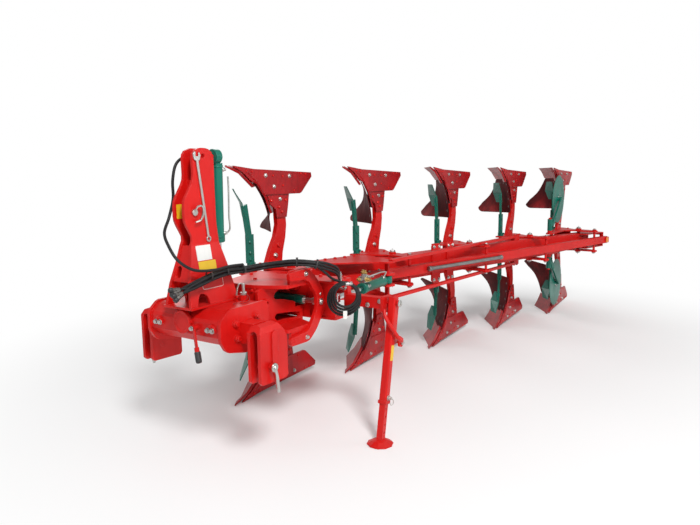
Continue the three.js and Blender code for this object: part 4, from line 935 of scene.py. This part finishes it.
def sticker(name, body, middle, across, rise, width, height, material, corner=4.0, thick=0.5):
    """A thin film with rounded corners; across and rise give its plane."""
    across, rise = Vector(across).normalized(), Vector(rise).normalized()
    corners = []
    for sx, sy, start in ((1, 1, 0), (-1, 1, 90), (-1, -1, 180), (1, -1, 270)):
        for k in range(5):
            a = math.radians(start + 22.5 * k)
            corners.append(middle + (across * (sx * (width / 2 - corner) + corner * math.cos(a))
                                     + rise * (sy * (height / 2 - corner) + corner * math.sin(a))) / 1000)
    film = Maker()
    film.plate(corners, thick, across.cross(rise), 0.2)
    film.done(name, body, material)


def on_cheek(x, z):
    """A point just off the near cheek of the mast, which splays below its bend."""
    return at(x, -(MAST_HALF + MAST_SPLAY * (MAST_BEND - z) + 0.4), z)


cheek_rise = on_cheek(0, 1200) - on_cheek(0, 1100)
sticker("mast_field_white", "frame", on_cheek(-40, 1240), REAR, cheek_rise, 108, 84, WHITE)
sticker("mast_field_yellow", "frame", on_cheek(-28, 1168), REAR, cheek_rise, 128, 54, YELLOW)
field = on_cheek(-12, 1076)
sticker("mast_outline", "frame", field, REAR, cheek_rise, 158, 70, WHITE, 14)
field += Vector((0, -0.0003, 0))
sticker("mast_outline_inner", "frame", field, REAR, cheek_rise, 153, 65, RED, 12, 0.6)
sticker("far_cheek_field", "frame", at(-112, 28.4, 1470), REAR, UP, 66, 78, YELLOW)
stand_face = STAND_TOP - stand_run * 0.31 + Vector((0, -0.0262, 0))
sticker("stand_field", "stand", stand_face, stand_side, stand_run, 36, 96, YELLOW, 3)
for x, wide in ((2050, 150), (2330, 96)):
    sticker(f"beam_field_{x}", "beam", on_beam(x, -58.4, AXIS_Z + 40), BEAM_RUN, UP, wide, 34, WHITE, 3)
print("blank films: 8")

# %% [markdown]
# Hub, yoke and carrier fittings
#
# The yoke that holds the first furrow cylinder is bolted to an ear on the hub, above and below the shaft, with
# spare holes for other widths. The stand's bracket is bolted to its arm, and a round bar that passes in front
# of the leg locks it. The heads are zinc plated, or have the frame's own paint.

# %% Hub and carrier bolts
YOKE_X, YOKE_FACE = 649, -352
painted, plated = Maker(), Maker()
plated.bolts([at(500, -346, AXIS_Z + z) for z in (197, -197)], NEAR, 24, 11)
for z in (1066, 674):
    for x in (380, 430, 480):
        painted.lathe(at(x, -345.6, z), NEAR, [(0, 9), (0, 11.5), (1.2, 11), (1.2, 9)], 20)
painted.bolts(route([(300, 150, 1016), (560, 150, 1016), (430, 0, 1016)]), UP, 22, 9)
painted.bolts([at(266, y, z) for z in (760, 980) for y in (-120, 120)], FRONT, 20, 8)
plated.lathe(at(YOKE_X, YOKE_FACE, AXIS_Z), NEAR, [(0, 14), (0, 22), (3, 22), (3, 14)], 32)
plated.bolt(at(YOKE_X, YOKE_FACE, AXIS_Z), NEAR, 26, 10)
plated.bolt(at(YOKE_X, -340, 918), NEAR, 20, 9)
painted.done("hub_bolts", "hub", RED)
plated.done("yoke_bolts", "hub", ZINC)

painted, plated = Maker(), Maker()
plated.bolts(route([(812, -595, 845), (812, -683, 875)]), FRONT, 26, 10)
DECK_Z = AXIS_Z + 124
deck = ((720, -200), (720, -60), (720, 100), (830, -220), (850, -400), (716, -400))
painted.bolts([at(x, y, DECK_Z) for x, y in deck], UP, 24, 10)
for sign in (1, -1):
    plated.bolt(on_beam(0, 0, AXIS_Z + sign * 134), (0, 0, sign), 46, 18)
plated.lathe(at(862, -796, 862), NEAR, [(0, 22), (2, 24), (6, 24), (8, 20), (8, 0)], 32)
plated.bolt(at(862, -804, 862), NEAR, 18, 7)
plated.tube(route([(704, -422, 966), (666, -486, 966.5), (632, -541, 969), (622, -556, 984)]), 8, 12, 4)
painted.done("deck_bolts", "carrier", RED)
plated.done("carrier_bolts", "carrier", ZINC)

bars, collar = Maker(), Maker()
bend = route([
    (802, -722, 826), (788, -734, 796), (786, -768, 742), (797, -796, 698), (830, -806, 650), (868, -806, 622),
])
bars.tube(smooth_path(bend, 5), 12, 20, 6)
bars.plate(route([
    (852, -806, 660), (838, -806, 628), (852, -806, 590), (880, -806, 582), (902, -806, 600), (896, -806, 634),
]), 14, FAR)
collar.bolt(at(872, -813, 610), NEAR, 20, 8)
bars.plate(oblong(on_stand(663, 14, 0), FAR, stand_run, 40, 54), 56, stand_side)
peg = [(0, 15), (3, 15), (3, 11), (14, 11), (14, 7), (26, 7), (28, 5), (28, 0)]
collar.lathe(on_stand(290, 0, -26), NEAR, peg, 24)
ring = ((290, 0, -50), (276, 14, -58), (256, 12, -58), (250, -6, -54), (266, -16, -50))
collar.tube([on_stand(*p) for p in ring], 2.4, 10, 8)
bars.done("stand_lock_bar", "stand", RED)
collar.done("stand_peg", "stand", ZINC)
rim = Maker()
for aside, out, wide, high in ((0, -27.2, 56.8, 2.4), (0, 27.2, 56.8, 2.4), (-27.2, 0, 2.4, 52), (27.2, 0, 2.4, 52)):
    rim.plate(oblong(on_stand(252, aside, out), stand_side, FAR, wide, high), 20, stand_run, 0.4)
rim.done("stand_rim", "stand", RED)
print("hub, yoke, carrier and stand fitted")

# %% [markdown]
# Bolts on the working bodies
#
# A share, a landside and a mouldboard are wearing parts, so each is held by bolts that can be reached with a
# spanner. The landside shows two rows of them, some plated and some painted. The board has flat heads that lie
# almost flush with the polished face. The leg is bolted in its bracket.

# %% Body bolts
def face_of_board(number, end, s, z, lift):
    """A place on the front of a board and the direction that it faces."""
    a, b = (side_point(number, end, lifted(s, z, height)) for height in (lift, lift + 10))
    return a, (b - a).normalized()


# Whether plated, the face's y, the direction, size, height and washer, then x and z of each bolt.
SIDE_BOLTS = (
    (True, -12, NEAR, 27, 9, True, ((406, 72), (689, 76), (500, 155))),
    (True, 0, NEAR, 27, 9, True, ((582, 253),)),
    (False, -12, NEAR, 19, 5, False, (
        (195, 40), (258, 43), (606, 76), (836, 56), (896, 58), (609, 148), (744, 190), (492, 72),
    )),
    (False, 0, NEAR, 22, 8, True, ((474, 262), (648, 262), (600, 352), (566, 314))),
    (False, 14.6, NEAR, 34, 11, True, ((565, 613),)),
    (True, 14.6, NEAR, 34, 13, True, ((525, 690),)),
    (False, 50.6, FAR, 26, 10, True, ((590, 420), (640, 440), (610, 350))),
)
BOARD_BOLTS = ((32, 180), (30, 262), (32, 344), (34, 430), (150, 168), (300, 166), (430, 180))
BRACKET_BOLTS = ((300, 66), (400, 66), (520, -90), (600, 30))
for number in BODIES:
    painted, plated, flush = Maker(), Maker(), Maker()
    for end in ENDS:
        for zinc, y, direction, size, height, washer, places in SIDE_BOLTS:
            seats = [side_point(number, end, (x, y, z)) for x, z in places]
            (plated if zinc else painted).bolts(seats, direction, size, height, washer)
        for s, z in BOARD_BOLTS:
            place, out = face_of_board(number, end, s, z, BOARD_THICKNESS - 0.6)
            flush.lathe(place, out, [(0, 10.5), (0.9, 10.5), (1.6, 9.4), (1.6, 0)], 24)
        seats = [side_point(number, end, (x, y, AXIS_Z - 124)) for x, y in BRACKET_BOLTS]
        painted.bolts(seats, DOWN if end == "lower" else UP, 22, 9)
    painted.done(f"body_bolts_painted_{number}", f"station_{number}", RED)
    plated.done(f"body_bolts_{number}", f"station_{number}", ZINC)
    flush.done(f"board_bolts_{number}", f"station_{number}", STEEL, slot="burnished_steel")
on_side = sum(len(row[-1]) for row in SIDE_BOLTS)
print("bolts on each body:", 2 * (on_side + len(BOARD_BOLTS) + len(BRACKET_BOLTS)))

# %% [markdown]
# Pivots, skimmer clamps and beam ends
#
# Every body pivots on a greased pin with a large nut and a nipple above and below, and its steering pin has
# smaller nuts. The skimmers' stalk is held by four bolts above the shaft's level and four below it. The beam
# ends in a bolted plate, with an amber reflector at the end of the steering bar.

# %% Pivots and clamps
PIVOT_X, STEERING_SIDE = 330, -200
NIPPLE = [(0, 5), (3, 5), (4, 3), (9, 3), (10, 4.4), (13, 3), (13, 0)]
for number in BODIES:
    plated, painted = Maker(), Maker()
    x = PIVOT_X + PITCH * (number - 1)
    for sign in (-1, 1):
        out = (0, 0, sign)
        plated.bolt(on_beam(x, 0, AXIS_Z + sign * 140), out, 48, 16, washer=False)
        plated.lathe(on_beam(x, 0, AXIS_Z + sign * 156), out, NIPPLE, 12)
        plated.bolt(on_beam(x, STEERING_SIDE, AXIS_Z + sign * 136), out, 32, 12, washer=False)
        painted.bolts([at_station(number, 254, 32, AXIS_Z + sign * z) for z in (310, 230, 180)], NEAR, 24, 9)
        painted.bolt(at_station(number, 275, 14, AXIS_Z + sign * 150), NEAR, 20, 8)
    plated.done(f"pivot_nuts_{number}", f"station_{number}", ZINC)
    painted.done(f"skimmer_bolts_{number}", f"station_{number}", GREEN)

plated, painted = Maker(), Maker()
for sign in (-1, 1):
    out = (0, 0, sign)
    painted.bolts([on_beam(x, -20, AXIS_Z + sign * 154) for x in (3196, 3246)], out, 24, 10)
    painted.bolts([on_beam(x, 10, AXIS_Z + sign * 142) for x in (660, 760, 860, 960)], out, 24, 10)
    plated.bolts([on_beam(x, -76, AXIS_Z + sign * 150) for x in (1845, 1915, 2048, 2104)], BEAM_SIDE, 24, 10)
    plated.bolts([on_beam(4890, y, AXIS_Z + sign * 70) for y in (-142, 46)], BEAM_RUN, 22, 8)
painted.done("beam_bolts_painted", "beam", RED)
plated.done("beam_bolts", "beam", ZINC)
plated = Maker()
for x in (850, 930, 1040, 1120):
    plated.bolt(on_beam(x, -238, AXIS_Z + 12), BEAM_SIDE, 22, 9)
    plated.bolt(on_beam(x, STEERING_SIDE, AXIS_Z + 40), UP, 22, 9)
plated.done("steering_bolts", "steering", ZINC)
sticker("beam_reflector", "steering", on_beam(4822, -240.2, AXIS_Z), BEAM_RUN, UP, 44, 60, AMBER, 7, 6)
print("nuts on the pivots: 20, bolts on the skimmers: 40")

# %% [markdown]
# Studio
#
# The plough stands on a plain pale floor under soft light: one broad lamp above the viewer's right shoulder for
# form, weaker ones from the right and from behind the plough, and an even world. The world looks white to the
# camera and the floor fades to the same white away from the plough, while the light on it stays at a plain level.

# %% Floor, lamps and world
FLOOR_HALF, FLOOR_DROP = 60, 0.0005
floor_mesh = Maker()
edges = [[Vector((x, y, 0)) for y in (-FLOOR_HALF, FLOOR_HALF)] for x in (-FLOOR_HALF, FLOOR_HALF)]
floor_mesh.strip(edges, close_ends=False, around=False)
floor_data = bpy.data.meshes.new("floor")
floor_mesh.mesh.to_mesh(floor_data)
floor_mesh.mesh.free()
floor = add_object("floor", floor_data)
floor.location.z = -FLOOR_DROP
pale = bpy.data.materials.new("pale floor")
pale.use_nodes = True
tree = pale.node_tree
matt = tree.nodes["Principled BSDF"]
feed(tree, matt, {"Base Color": (0.88, 0.88, 0.88, 1), "Roughness": 0.9, "Specular IOR Level": 0.0})
place = node(tree, "NewGeometry").outputs["Position"]
reach = node(tree, "VectorMath", {0: place}, operation="LENGTH").outputs["Value"]
seen = node(tree, "LightPath").outputs["Is Camera Ray"]
fade = maths(tree, "MULTIPLY", spread(tree, reach, 1.6, 4.6), seen)
both = node(tree, "MixShader", {0: fade, 1: matt.outputs[0], 2: node(tree, "Emission").outputs[0]})
feed(tree, tree.nodes["Material Output"], {"Surface": both.outputs[0]})
floor_data.materials.append(pale)


def lamp(name, place, target, size, power):
    data = bpy.data.lights.new(name, "AREA")
    data.shape = "DISK"
    data.size = size
    data.energy = power
    light = add_object(name, data)
    light.location = place
    light.rotation_euler = (Vector(target) - Vector(place)).to_track_quat("-Z", "Y").to_euler()


lamp("key lamp", (-6.0, -5.5, 7.0), (0, 0, 0.8), 2.0, 640)
lamp("fill lamp", (3.5, -8.0, 4.0), (0.5, 0, 0.8), 4.0, 120)
lamp("rear lamp", (4.0, 7.0, 5.0), (0, 0, 0.8), 4.0, 120)

world = bpy.data.worlds.new("studio")
bpy.context.scene.world = world
world.use_nodes = True
tree = world.node_tree
seen = node(tree, "LightPath").outputs["Is Camera Ray"]
feed(tree, tree.nodes["Background"], {"Color": (1, 1, 1, 1), "Strength": mix_value(tree, seen, 0.5, 1.0)})
bpy.context.scene.view_settings.view_transform = "Standard"
